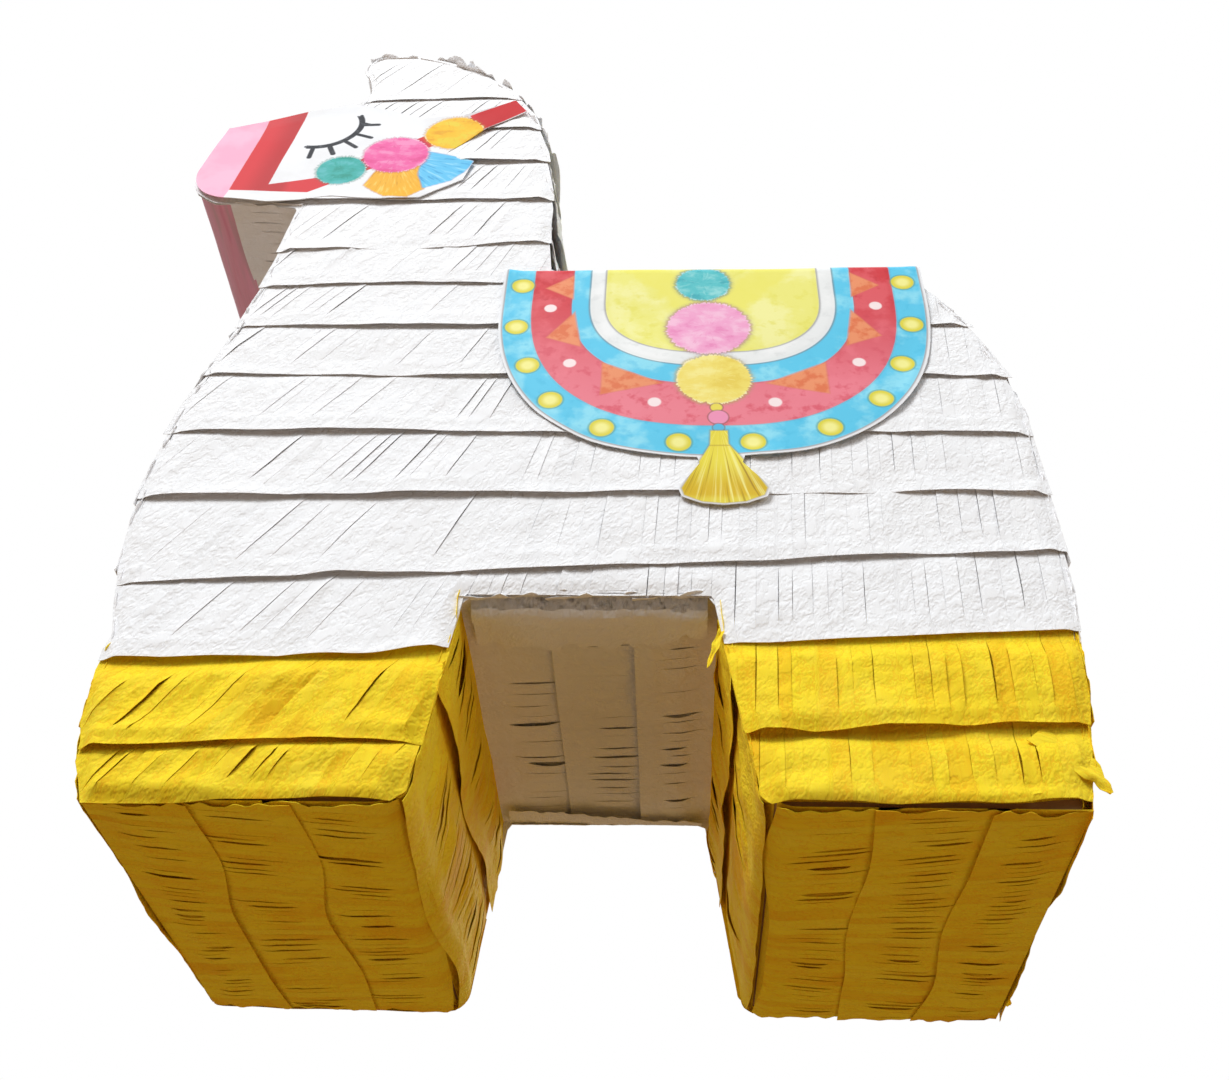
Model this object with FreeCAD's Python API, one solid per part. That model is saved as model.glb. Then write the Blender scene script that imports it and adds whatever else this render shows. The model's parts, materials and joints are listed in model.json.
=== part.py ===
"""Llama pinata: a cardboard shell dressed in overlapping crepe paper rows.

Millimetres. +Z is up, the head looks along -X, and the origin is on the ground
under the middle of the object. The shell is two flat side panels joined by a
bent strip of card all round. A bar under the back takes the rope, and a flap
in the rump opens the inside.
"""
import FreeCAD
import Part
import math
import os

V = FreeCAD.Vector

# ---- driving dimensions -------------------------------------------------------
DEPTH = 130.0             # over the paper, side to side
PANEL_THICK = 3.0         # corrugated side panels
WALL_THICK = 2.0          # bent card between the panels
SKIN = 2.2                # room that the crepe rows take on every face

CREPE_THICK = 0.5         # one crepe strip with its wrinkles
CREPE_LIFT = 1.55         # how far a strip's free edge stands off
CREPE_TUCK = 8.0          # how far a strip reaches under the one above
CREPE_GLUE = 0.15         # glue line under a strip
STRIP_STEP = 2.5          # length of the flats that follow a bend
CREPE_BUTT = 0.3          # gap between the strips pressed flat under the feet
STRIP_PITCH = 29.0        # usual distance between free edges
CORNER_CLEAR = 0.6        # between two walls' strips in a hollow corner
SCRAP = 0.5               # a cut leaves nothing worth keeping under this, in mm3

BACK_HEIGHT = 226.0
BELLY_HEIGHT = 70.0
THROAT = (-109, 272)
FRONT_TOE = (-108, 0)
FRONT_CROTCH = (-18, BELLY_HEIGHT)
HIND_CROTCH = (53, BELLY_HEIGHT)
HEEL = (143.5, 0)
FOOT_ROUND = 9.0          # the corner between a sole and the inside of a leg
WHITE_EDGES = [50.0, 78.0, 109.0, 139.0, 168.0, 193.0, 219.0,
               246.0, 275.0, 303.0, 330.0, 356.0]   # free edges of the white rows
TOP_EDGE = 400.0
YELLOW_EDGES = [2.0, 26.0]                          # free edges of the yellow rows

WRAP_THICK = 1.0          # pink paper round the muzzle, with its creases
WRAP_TOP = 327.0
WRAP_JAW_X = -136.0       # where the pink paper stops under the jaw
PRINT_THICK = 0.5         # printed card and its glue
PRINT_GAP = 0.1

SADDLE_CENTRE_X = 55.0
SADDLE_HALF_WIDTH = 75.5
SADDLE_STRAIGHT = 20.0    # straight side below the fold
SADDLE_ROUND = 81.0       # height of the rounded part
SADDLE_FULLNESS = 2.45    # 2 is an ellipse, and more is squarer
SADDLE_FACETS = 40
NECK_GAP = 1.0            # between the saddle's fold and the neck
TASSEL_ROOT = 12.0        # its point, above the saddle's round edge
TASSEL_DROP = 20.0        # below the saddle's round edge
TASSEL_HALF_WIDTH = 14.0

FLAP_TOP = 141.0          # hinge line
FLAP_HEIGHT = 50.0
FLAP_WIDTH = 64.0
FLAP_GAP = 0.5            # cut line round three sides
FLAP_HINGE_GAP = 0.3
RUMP_INSIDE_X = 120.0     # the rump wall lies wholly between these two
RUMP_OUTSIDE_X = 170.0
FLAP_BARE_BELOW = 4.0     # no crepe this close under the crease
FLAP_BARE_ABOVE = 3.0

ROPE_HOLE_R = 3.0
ROPE_HOLE_REACH = 20.0    # how far its cutter reaches above and below the back
ROPE_HOLE_SPACING = 20.0
ROPE_X = 15.0             # as near the centre of mass as the neck allows
PAPER_HOLE_R = 4.2        # the same holes torn through paper and print
PLATE_LENGTH = 56.0
PLATE_WIDTH = 90.0
PLATE_THICK = 2.0
BAR_R = 4.0
BAR_LENGTH = 112.0

CORE_HALF = DEPTH / 2 - SKIN                # outer face of each panel
INNER_HALF = CORE_HALF - PANEL_THICK        # inner face of each panel
BIG = 500.0


# ---- the side outline, over the paper ------------------------------------------
def rounded(corner, before, after):
    """The start, middle and end of the arc that rounds a foot's inner corner."""
    corner = V(corner[0], 0, corner[1])
    ways = [(V(x, 0, z) - corner).normalize() for x, z in (before, after)]
    half = ways[0].getAngle(ways[1]) / 2
    middle = corner + (ways[0] + ways[1]).normalize() * (FOOT_ROUND / math.sin(half))
    ends = [corner + way * (FOOT_ROUND / math.tan(half)) for way in ways]
    spots = [ends[0], middle + (corner - middle).normalize() * FOOT_ROUND, ends[1]]
    return [(p.x, p.z) for p in spots]


# Each stretch runs from the one before it: a point for a line, two for an arc.
CHEST = [[(-115, 22), (-117, 55)],
         [(-125.5, 116), (-120, 168)],
         [(-113.5, 203), (-109.5, 238)],
         [THROAT]]
MUZZLE = [[(-140, 276.5)],
          [(-151, 283.5), (-155, 297)],
          [(-150.5, 331)]]
BROW = [[(-136, 335)],
        [(-97, 352)]]
EAR = [[(-94, 366), (-99, 381)],
       [(-100, 391), (-94, 399)],
       [(-78, 399)]]
NAPE = [[(-40, 374), (-16.5, 331)],
        [(-8.5, 290), (-6, 248)],
        [(-4, BACK_HEIGHT)]]
BACK = [[(124, BACK_HEIGHT)]]
RUMP = [[(144, 190), (154.5, 148)],
        [(155, 84)],
        [(151.5, 42), HEEL]]
HIND_TOE_ARC = rounded((64.5, 0), HEEL, HIND_CROTCH)
FRONT_HEEL_ARC = rounded((-25.5, 0), FRONT_CROTCH, FRONT_TOE)
HIND_SOLE = [HIND_TOE_ARC[:1]]
HIND_INNER = [HIND_TOE_ARC[1:],
              [HIND_CROTCH]]
BELLY = [[FRONT_CROTCH]]
FRONT_INNER = [FRONT_HEEL_ARC[:1],
               FRONT_HEEL_ARC[1:]]
FRONT_SOLE = [[FRONT_TOE]]
STRETCHES = [("chest", CHEST), ("muzzle", MUZZLE), ("brow", BROW), ("ear", EAR),
             ("nape", NAPE), ("back", BACK), ("rump", RUMP),
             ("hind_sole", HIND_SOLE), ("hind_inner", HIND_INNER),
             ("belly", BELLY), ("front_inner", FRONT_INNER),
             ("front_sole", FRONT_SOLE)]


def at(point, y=0.0):
    return V(point[0], y, point[1])


def outline():
    """The edges of each named stretch, in order round the side view."""
    here, edges = FRONT_TOE, {}
    for name, steps in STRETCHES:
        edges[name] = []
        for step in steps:
            if len(step) == 1:
                edge = Part.LineSegment(at(here), at(step[0])).toShape()
            else:
                edge = Part.Arc(at(here), at(step[0]), at(step[1])).toShape()
            edges[name].append(edge)
            here = step[-1]
    return edges


EDGES = outline()
SILHOUETTE = Part.Face(Part.Wire([e for name, _ in STRETCHES for e in EDGES[name]]))


def inset(distance):
    """The side view pulled in by a distance, with square corners."""
    return SILHOUETTE.makeOffset2D(-distance, 2)


def prism(face, y0, y1):
    """A face of the XZ plane pushed out between two depths."""
    moved = face.copy()
    moved.translate(V(0, y0, 0))
    return moved.extrude(V(0, y1 - y0, 0))


def block(x0, x1, y0, y1, z0, z1):
    return Part.makeBox(x1 - x0, y1 - y0, z1 - z0, V(x0, y0, z0))


def region(points):
    """A tall prism over a polygon of the side view, used to pick walls out."""
    wire = Part.makePolygon([at(p) for p in points + points[:1]])
    return prism(Part.Face(wire), -BIG, BIG)


def cylinder(x, y, z, radius, length, direction):
    return Part.makeCylinder(radius, length, V(x, y, z), direction)


def save(name, solids):
    """One STEP file for a sub-part, as separate solids."""
    solids = solids if isinstance(solids, list) else [solids]
    found = [s for shape in solids for s in shape.Solids if s.Volume > SCRAP]
    for solid in found:
        if not solid.isValid():
            raise ValueError(name + " is not valid")
    shape = found[0] if len(found) == 1 else Part.makeCompound(found)
    shape.exportStep("parts/" + name + ".step")
    print("%-20s %2d solids %9.1f mm3" % (name, len(found), shape.Volume))


# ---- crepe ---------------------------------------------------------------------
def walk(name, reverse=False):
    """Points and outward normals every millimetre or so along a stretch."""
    wire = Part.Wire(EDGES[name])
    spots = wire.discretize(Distance=1.0) if wire.Length > 3 else wire.discretize(3)
    line = [(p.x, p.z) for p in spots]
    path = []
    for i, (x, z) in enumerate(line):
        ax, az = line[max(i - 1, 0)]
        bx, bz = line[min(i + 1, len(line) - 1)]
        long = math.hypot(bx - ax, bz - az)
        path.append((x, z, -(bz - az) / long, (bx - ax) / long))
    return path[::-1] if reverse else path


def measure(path):
    total, marks = 0.0, [0.0]
    for a, b in zip(path, path[1:]):
        total += math.hypot(b[0] - a[0], b[1] - a[1])
        marks.append(total)
    return marks


def along(path, marks, s):
    """The point and normal at a distance along a path."""
    for i in range(1, len(marks)):
        if s <= marks[i] or i == len(marks) - 1:
            f = (s - marks[i - 1]) / (marks[i] - marks[i - 1])
            f = min(max(f, 0.0), 1.0)
            return [a + (b - a) * f for a, b in zip(path[i - 1], path[i])]


def wall_strip(path, marks, s0, s1, pressed=False):
    """A crepe strip across a wall: tucked at s0, its free edge off at s1.

    A pressed strip is one under a foot, squeezed between the card and the ground.
    """
    steps = max(2, int((s1 - s0) / STRIP_STEP))
    under, over = [], []
    for i in range(steps + 1):
        f = i / steps
        x, z, nx, nz = along(path, marks, s0 + (s1 - s0) * f)
        low = -SKIN + CREPE_GLUE + (0.0 if pressed else CREPE_LIFT * f)
        high = 0.0 if pressed else low + CREPE_THICK
        under.append((x + nx * low, z + nz * low))
        over.append((x + nx * high, z + nz * high))
    wire = Part.makePolygon([at(p) for p in under + over[::-1] + under[:1]])
    return prism(Part.Face(wire), -CORE_HALF, CORE_HALF)


def wall_fringe(path, start=0.0, end=None, rows=None, tuck=True):
    """Overlapping strips along a wall, each free edge over the next strip."""
    marks = measure(path)
    end = marks[-1] if end is None else end
    rows = rows or max(1, round((end - start) / STRIP_PITCH))
    pitch = (end - start) / rows
    strips = []
    for i in range(rows):
        lead = CREPE_TUCK if i or tuck else 0.0
        strips.append(wall_strip(path, marks, max(start + i * pitch - lead, 0.0),
                                 start + (i + 1) * pitch))
    return strips


def sole_fringe(path, rows=3):
    """Strips laid edge to edge under a foot, where the weight flattens them."""
    marks = measure(path)
    pitch = marks[-1] / rows
    return [wall_strip(path, marks, i * pitch, (i + 1) * pitch - CREPE_BUTT, True)
            for i in range(rows)]


def split_at_height(path, z):
    """How far along a falling path the outline passes a height."""
    marks = measure(path)
    for i in range(1, len(path)):
        if (path[i - 1][1] - z) * (path[i][1] - z) <= 0:
            return marks[i]
    raise ValueError("the path never passes that height")


def face_row(low, high, side):
    """A crepe row on a side panel, clipped to the side view."""
    near = CORE_HALF
    rise = CREPE_LIFT
    profile = [(near, high), (near + CREPE_THICK, high),
               (near + rise + CREPE_THICK, low), (near + rise, low)]
    points = [V(-BIG, side * y, z) for y, z in profile]
    slab = Part.Face(Part.makePolygon(points + points[:1])).extrude(V(2 * BIG, 0, 0))
    return slab.common(prism(SILHOUETTE, -BIG, BIG))


def side_rows(word, side):
    """The white rows of one side panel, then its yellow ones."""
    tops = WHITE_EDGES[1:] + [TOP_EDGE - CREPE_TUCK]
    for i, (low, top) in enumerate(zip(WHITE_EDGES, tops)):
        save("%s_row_%02d" % (word, i + 1), face_row(low, top + CREPE_TUCK, side))
    tops = YELLOW_EDGES[1:] + WHITE_EDGES[:1]
    for i, (low, top) in enumerate(zip(YELLOW_EDGES, tops)):
        save("%s_yellow_row_%d" % (word, i + 1), face_row(low, top + CREPE_TUCK, side))


# ---- cardboard -----------------------------------------------------------------
def rope_holes(radius):
    return [cylinder(ROPE_X + side * ROPE_HOLE_SPACING / 2, 0, BACK_HEIGHT - ROPE_HOLE_REACH,
                     radius, 2 * ROPE_HOLE_REACH, V(0, 0, 1)) for side in (-1, 1)]


def door(extra_side, extra_top, extra_bottom):
    """The space of the flap, grown by a margin on each edge."""
    half = FLAP_WIDTH / 2 + extra_side
    return block(RUMP_INSIDE_X, RUMP_OUTSIDE_X, -half, half, FLAP_TOP - FLAP_HEIGHT - extra_bottom,
                 FLAP_TOP + extra_top)


def cardboard():
    core = inset(SKIN)
    panel = prism(core, 0, PANEL_THICK)
    for name, y in (("front_panel", -CORE_HALF), ("back_panel", INNER_HALF)):
        side = panel.copy()
        side.translate(V(0, y, 0))
        save(name, side)

    ring = prism(core, -INNER_HALF, INNER_HALF).cut(
        prism(inset(SKIN + WALL_THICK), -BIG, BIG))
    sole_top = SKIN + WALL_THICK
    belly_top = BELLY_HEIGHT + SKIN + WALL_THICK
    jaw, muzzle_top, notch = THROAT[1] + SKIN, 326.0, 355.0
    crown_x, rump_x, mid_x, ground = -60.0, RUMP_INSIDE_X, 20.0, -9.0
    walls = {
        "front_foot_sole": [(-BIG, ground), (mid_x, ground), (mid_x, sole_top),
                            (-BIG, sole_top)],
        "hind_foot_sole": [(mid_x, ground), (BIG, ground), (BIG, sole_top),
                           (mid_x, sole_top)],
        "belly_arch": [(-60, sole_top), (90, sole_top), (90, belly_top + 1),
                       (-60, belly_top + 1)],
        "chest_wall": [(-BIG, sole_top), (-90, sole_top), (-90, jaw), (-BIG, jaw)],
        "muzzle_wall": [(-BIG, jaw), (-90, jaw), (-90, jaw + 20), (-135, jaw + 20),
                        (-135, muzzle_top), (-BIG, muzzle_top)],
        "brow_wall": [(-BIG, muzzle_top), (-135, muzzle_top), (-120, 312), (-80, 338),
                      (-91.5, notch), (-BIG, notch + 20)],
        "ear_wall": [(-BIG, notch + 20), (-91.5, notch), (-80, 338), (crown_x, 350),
                     (crown_x, BIG), (-BIG, BIG)],
        "nape_wall": [(crown_x, BIG), (crown_x, 350), (-30, BACK_HEIGHT - SKIN),
                      (30, BACK_HEIGHT - SKIN), (30, BIG)],
        "back_wall": [(-30, 150), (rump_x, 150), (rump_x, BACK_HEIGHT - SKIN),
                      (-30, BACK_HEIGHT - SKIN)],
        "rump_wall": [(rump_x, sole_top), (BIG, sole_top), (BIG, BIG), (rump_x, BIG)],
    }
    for name, corners in walls.items():
        wall = ring.common(region(corners))
        if name == "back_wall":
            for hole in rope_holes(ROPE_HOLE_R):
                wall = wall.cut(hole)
        if name == "rump_wall":
            flap = wall.common(door(-FLAP_GAP, -FLAP_HINGE_GAP, -FLAP_GAP))
            wall = wall.cut(door(0, 0, 0))
            save("fill_flap", flap)
        save(name, wall)


def hanger():
    """A card plate glued under the back and the wooden bar that holds the rope."""
    plate_top = BACK_HEIGHT - SKIN - WALL_THICK
    plate = block(ROPE_X - PLATE_LENGTH / 2, ROPE_X + PLATE_LENGTH / 2,
                  -PLATE_WIDTH / 2, PLATE_WIDTH / 2, plate_top - PLATE_THICK, plate_top)
    for hole in rope_holes(ROPE_HOLE_R):
        plate = plate.cut(hole)
    save("hanger_plate", plate)
    save("hanger_bar", cylinder(ROPE_X, -BAR_LENGTH / 2, plate_top - PLATE_THICK - BAR_R,
                                BAR_R, BAR_LENGTH, V(0, 1, 0)))


# ---- crepe on the walls --------------------------------------------------------
def wall_crepe():
    corner = SKIN + CORNER_CLEAR
    chest = walk("chest", reverse=True)
    boundary = split_at_height(chest, WHITE_EDGES[0])
    save("chest_fringe", wall_fringe(chest, corner, boundary, tuck=False))
    front_leg = wall_fringe(chest, boundary, rows=2)
    front_leg += sole_fringe(walk("front_sole", True))
    front_leg += wall_fringe(walk("front_inner"), corner, rows=2, tuck=False)
    save("front_leg_fringe", front_leg)

    rump = walk("rump")
    boundary = split_at_height(rump[len(rump) // 2:], WHITE_EDGES[0])
    boundary += measure(rump)[len(rump) // 2]
    rows = wall_fringe(rump, 0.0, boundary, tuck=False)
    keep = door(FLAP_GAP, FLAP_BARE_ABOVE, FLAP_GAP)
    on_flap = door(-FLAP_GAP, -FLAP_BARE_BELOW, -FLAP_GAP)
    save("rump_fringe", [row.cut(keep) for row in rows])
    save("flap_fringe", [row.common(on_flap) for row in rows])
    hind_leg = wall_fringe(rump, boundary, rows=2)
    hind_leg += sole_fringe(walk("hind_sole"))
    hind_leg += wall_fringe(walk("hind_inner", True), corner, rows=2, tuck=False)
    save("hind_leg_fringe", hind_leg)

    belly = walk("belly")
    save("belly_fringe", wall_fringe(belly, corner, measure(belly)[-1] - corner, rows=3,
                                     tuck=False))
    jaw = walk("muzzle")
    jaw_end = THROAT[0] - WRAP_JAW_X - CREPE_BUTT
    save("jaw_fringe", wall_fringe(jaw, corner, jaw_end, rows=1, tuck=False))
    nape = walk("nape")
    save("nape_fringe", wall_fringe(nape, SKIN, measure(nape)[-1] - corner, tuck=False))
    ear = walk("ear", reverse=True)
    save("ear_fringe", wall_fringe(ear, 0.0, measure(ear)[-1] - corner, rows=3,
                                   tuck=False))
    brow = walk("brow", reverse=True)
    save("brow_fringe", wall_fringe(brow, corner, rows=2, tuck=False))
    back = walk("back")
    strips = wall_fringe(back, corner, rows=4, tuck=False)
    for hole in rope_holes(PAPER_HOLE_R):
        strips = [strip.cut(hole) for strip in strips]
    save("back_fringe", strips)


# ---- printed paper -------------------------------------------------------------
def muzzle_wrap():
    """Plain pink paper round the muzzle, in one bent sheet."""
    skin = prism(inset(SKIN - WRAP_THICK), -CORE_HALF, CORE_HALF).cut(
        prism(inset(SKIN), -BIG, BIG))
    front = region([(-BIG, 250), (WRAP_JAW_X, 250), (WRAP_JAW_X, WRAP_TOP),
                    (-BIG, WRAP_TOP)])
    save("muzzle_wrap", skin.common(front))


def face_outline():
    """The cut edge of a cheek print: muzzle, eye, noseband, cheek band and poms."""
    bounds = [(-200, 270), (-109, 274.5), (-96, 277), (-76, 274), (-60, 275),
              (-44, 288), (-41, 302), (-54, 308), (-38, 328), (-22, 341),
              (-28, 352), (-46, 340), (-66, 337), (-84, 345), (-98, 350), (-200, 400)]
    return Part.Face(Part.makePolygon([at(p) for p in bounds + bounds[:1]]))


def face_prints():
    face = face_outline().common(SILHOUETTE)
    near = DEPTH / 2 + PRINT_GAP
    far = near + PRINT_THICK
    save("face_print_front", prism(face, -far, -near))
    save("face_print_back", prism(face, near, far))


def fuller(share):
    """Swells a circle's sine or cosine towards a square, for a full round outline."""
    return math.copysign(abs(share) ** (2 / SADDLE_FULLNESS), share)


def saddle_outline():
    """Half of the saddle, from the fold down, with its tassel."""
    left, right = SADDLE_CENTRE_X - SADDLE_HALF_WIDTH, SADDLE_CENTRE_X + SADDLE_HALF_WIDTH
    fold = BACK_HEIGHT + PRINT_GAP
    shoulder = fold - SADDLE_STRAIGHT
    low = shoulder - SADDLE_ROUND
    flat = Part.Face(Part.makePolygon([at((left, fold)), at((right, fold)),
                                       at((right, shoulder)), at((left, shoulder)),
                                       at((left, fold))]))
    angles = [math.pi * i / SADDLE_FACETS for i in range(SADDLE_FACETS + 1)]
    curve = [(SADDLE_CENTRE_X - SADDLE_HALF_WIDTH * fuller(math.cos(a)),
              shoulder - SADDLE_ROUND * fuller(math.sin(a))) for a in angles]
    bowl = Part.Face(Part.makePolygon([at(p) for p in curve + curve[:1]]))
    tassel = Part.Face(Part.makePolygon([
        at((SADDLE_CENTRE_X, low + TASSEL_ROOT)),
        at((SADDLE_CENTRE_X + TASSEL_HALF_WIDTH, low - TASSEL_DROP)),
        at((SADDLE_CENTRE_X - TASSEL_HALF_WIDTH, low - TASSEL_DROP)),
        at((SADDLE_CENTRE_X, low + TASSEL_ROOT))]))
    return [flat, bowl, tassel]


def saddle():
    """One printed sheet folded over the back, with a half on each side."""
    near = DEPTH / 2 + PRINT_GAP
    far = near + PRINT_THICK
    pieces = []
    for y0, y1 in ((-far, -near), (near, far)):
        pieces += [prism(face, y0, y1) for face in saddle_outline()]
    neck_x, rump_x = NAPE[-1][0][0], BACK[0][0][0]
    top = block(neck_x + NECK_GAP, rump_x, -far, far, BACK_HEIGHT + PRINT_GAP,
                BACK_HEIGHT + PRINT_GAP + PRINT_THICK)
    sheet = top.multiFuse(pieces).removeSplitter()
    for hole in rope_holes(PAPER_HOLE_R):
        sheet = sheet.cut(hole)
    save("saddle", sheet)


def main():
    os.makedirs("parts", exist_ok=True)
    cardboard()
    hanger()
    side_rows("front", -1)
    side_rows("back", 1)
    wall_crepe()
    muzzle_wrap()
    face_prints()
    saddle()


main()
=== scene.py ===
"""A llama pinata: cardboard shell, crepe paper rows, printed saddle and bridle.

Metres in the scene, millimetres inside the paper-cutting code. The cardboard and
the hanger come with the frame; the paper is cut here to fit it.
"""
import json
import math
from dataclasses import dataclass
from typing import Callable

import bmesh
import bpy
import numpy as np
from bpy.props import FloatProperty, FloatVectorProperty, IntProperty, PointerProperty
from bpy.types import Operator, Panel, PropertyGroup
from mathutils import Matrix, Vector


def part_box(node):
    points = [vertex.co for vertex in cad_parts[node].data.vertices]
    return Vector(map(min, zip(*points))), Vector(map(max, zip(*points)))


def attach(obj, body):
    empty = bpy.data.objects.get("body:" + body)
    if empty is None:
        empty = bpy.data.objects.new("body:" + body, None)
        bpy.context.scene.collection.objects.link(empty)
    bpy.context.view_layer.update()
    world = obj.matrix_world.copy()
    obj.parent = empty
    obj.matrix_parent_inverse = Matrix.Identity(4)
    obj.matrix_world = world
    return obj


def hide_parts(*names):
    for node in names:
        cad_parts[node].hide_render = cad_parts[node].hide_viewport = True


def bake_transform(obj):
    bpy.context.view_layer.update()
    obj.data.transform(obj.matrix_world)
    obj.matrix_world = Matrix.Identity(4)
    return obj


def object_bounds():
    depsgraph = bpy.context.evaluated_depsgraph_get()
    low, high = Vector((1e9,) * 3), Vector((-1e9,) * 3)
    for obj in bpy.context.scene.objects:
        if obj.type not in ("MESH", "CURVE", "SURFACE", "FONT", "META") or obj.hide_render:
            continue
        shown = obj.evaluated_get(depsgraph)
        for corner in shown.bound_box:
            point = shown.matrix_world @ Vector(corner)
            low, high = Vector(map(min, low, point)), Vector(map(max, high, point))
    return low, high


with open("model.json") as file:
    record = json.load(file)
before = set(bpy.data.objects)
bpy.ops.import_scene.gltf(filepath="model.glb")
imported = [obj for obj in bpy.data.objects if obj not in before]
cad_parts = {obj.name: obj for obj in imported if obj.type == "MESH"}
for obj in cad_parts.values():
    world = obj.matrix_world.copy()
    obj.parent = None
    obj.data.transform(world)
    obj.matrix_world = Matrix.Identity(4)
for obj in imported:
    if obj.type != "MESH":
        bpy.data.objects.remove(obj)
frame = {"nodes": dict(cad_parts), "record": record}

bl_info = {
    "name": "Paper Pinata",
    "version": (1, 0, 0),
    "blender": (4, 5, 0),
    "location": "View3D > Sidebar > Pinata",
    "description": "Cuts and hangs the crepe paper, prints and stage of a pinata",
    "category": "Object",
}

CAD_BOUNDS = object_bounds()
MM = 0.001
SHELL = "shell"
FLAP = "flap"


# ---- settings ------------------------------------------------------------------
def srgb(r, g, b):
    """A colour as it looks on screen, from 0 to 255, as linear light."""
    def line(c):
        c /= 255.0
        return c / 12.92 if c <= 0.04045 else ((c + 0.055) / 1.055) ** 2.4
    return (line(r), line(g), line(b))


def length(name, text, value, low=0.0, high=1000.0):
    return FloatProperty(name=name, description=text, default=value, min=low, max=high)


def colour(name, text, value):
    return FloatVectorProperty(name=name, description=text, default=value, size=3,
                               min=0.0, max=1.0, subtype="COLOR")


class CrepeSettings(PropertyGroup):
    ribbon: length("Ribbon", "Usual width between two slits, in mm", 5.2, 2.0, 20.0)
    band: length("Uncut band", "Paper left whole along the free edge, in mm", 6.0, 1.0, 20.0)
    lift: length("Lift", "How far the free edge stands off, in mm", 1.2, 0.2, 6.0)
    thickness: length("Paper", "Thickness of one sheet of crepe, in mm", 0.16, 0.05, 1.0)
    seed: IntProperty(name="Seed", description="Changes how the paper fell", default=7)
    white: colour("White", "Colour of the white crepe", srgb(250, 250, 252))
    yellow: colour("Yellow", "Colour of the yellow crepe", srgb(253, 222, 40))
    pink: colour("Pink", "Colour of the muzzle paper", srgb(240, 172, 200))


class PrintSettings(PropertyGroup):
    card: length("Print", "Thickness of the printed sheet, in mm", 0.3, 0.1, 1.0)
    blue: colour("Blue", "Saddle bands", srgb(96, 203, 238))
    red: colour("Red", "Bridle and saddle bands", srgb(214, 44, 52))
    yellow: colour("Yellow", "Saddle ground", srgb(238, 232, 110))
    teal: colour("Teal", "First pom-pom", srgb(56, 172, 165))
    rose: colour("Rose", "Middle pom-pom", srgb(236, 98, 165))
    gold: colour("Gold", "Gold pom-pom and tassel", srgb(243, 190, 34))


class CardSettings(PropertyGroup):
    card: colour("Card", "Colour of the brown card", srgb(178, 140, 98))
    wood: colour("Wood", "Colour of the hanger bar", srgb(206, 172, 124))


class StageSettings(PropertyGroup):
    lens: length("Lens", "Focal length on a 36 mm wide sensor", 36.745, 10.0, 200.0)
    key: FloatProperty(name="Key light", description="Strength of the soft front light",
                       default=1.0, min=0.0, max=20.0)
    floor: colour("Floor", "Colour of the floor", (0.82, 0.82, 0.82))


# ---- the outline that the paper is cut to ----------------------------------------
PANEL_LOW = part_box("front_panel")[0]
CORE_HALF = -PANEL_LOW.y / MM                     # outer face of a side panel
SKIN = (PANEL_LOW.z - CAD_BOUNDS[0][2]) / MM      # room for paper on each face
SOLE_Z = CAD_BOUNDS[0][2] / MM

# corners of the side view, where one wall ends and the next begins
CORNERS = {
    "throat": (-109, 272), "muzzle_top": (-150.5, 331), "notch": (-97, 352),
    "crown": (-78, 399), "neck_base": (-4, 226), "tail_top": (124, 226),
    "heel": (143.5, 0), "hind_toe": (64.5, 0), "hind_crotch": (53, 70),
    "front_crotch": (-18, 70), "front_heel": (-25.5, 0), "front_toe": (-108, 0),
}


def node_loop(node):
    """The edge of a CAD piece's flat face nearest the front, in mm of the side view."""
    mesh = frame["nodes"][node].data
    mesh.calc_loop_triangles()
    co = np.array([v.co for v in mesh.vertices]) / MM
    spot = [tuple(np.round(p, 2)) for p in co]
    near = co[:, 1].min() + 0.01
    directed = set()
    for tri in mesh.loop_triangles:
        if all(co[i, 1] < near for i in tri.vertices):
            a, b, c = (spot[i] for i in tri.vertices)
            directed.update([(a, b), (b, c), (c, a)])
    onward = {a: b for a, b in directed if (b, a) not in directed}
    here = min(onward)
    loop = [here]
    while onward[loop[-1]] != here:
        loop.append(onward[loop[-1]])
    return np.array([(p[0], p[2]) for p in loop])


def loop_area(loop):
    """The area inside a closed line, negative where it runs clockwise."""
    turn = np.roll(loop, -1, 0)
    return (loop[:, 0] * turn[:, 1] - turn[:, 0] * loop[:, 1]).sum() / 2


def panel_loop():
    """The side panel's edge in mm, clockwise, pushed out to the paper's face."""
    line = node_loop("front_panel")
    if loop_area(line) > 0:
        line = line[::-1]
    ahead = np.roll(line, -1, 0) - line
    ahead /= np.linalg.norm(ahead, axis=1)[:, None]
    out = np.stack([-ahead[:, 1], ahead[:, 0]], 1)
    before = np.roll(out, 1, 0)
    mitre = (out + before) / (1 + (out * before).sum(1))[:, None]
    return line + mitre * SKIN


LOOP = panel_loop()
BELLY = CORNERS["front_crotch"][1]


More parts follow.
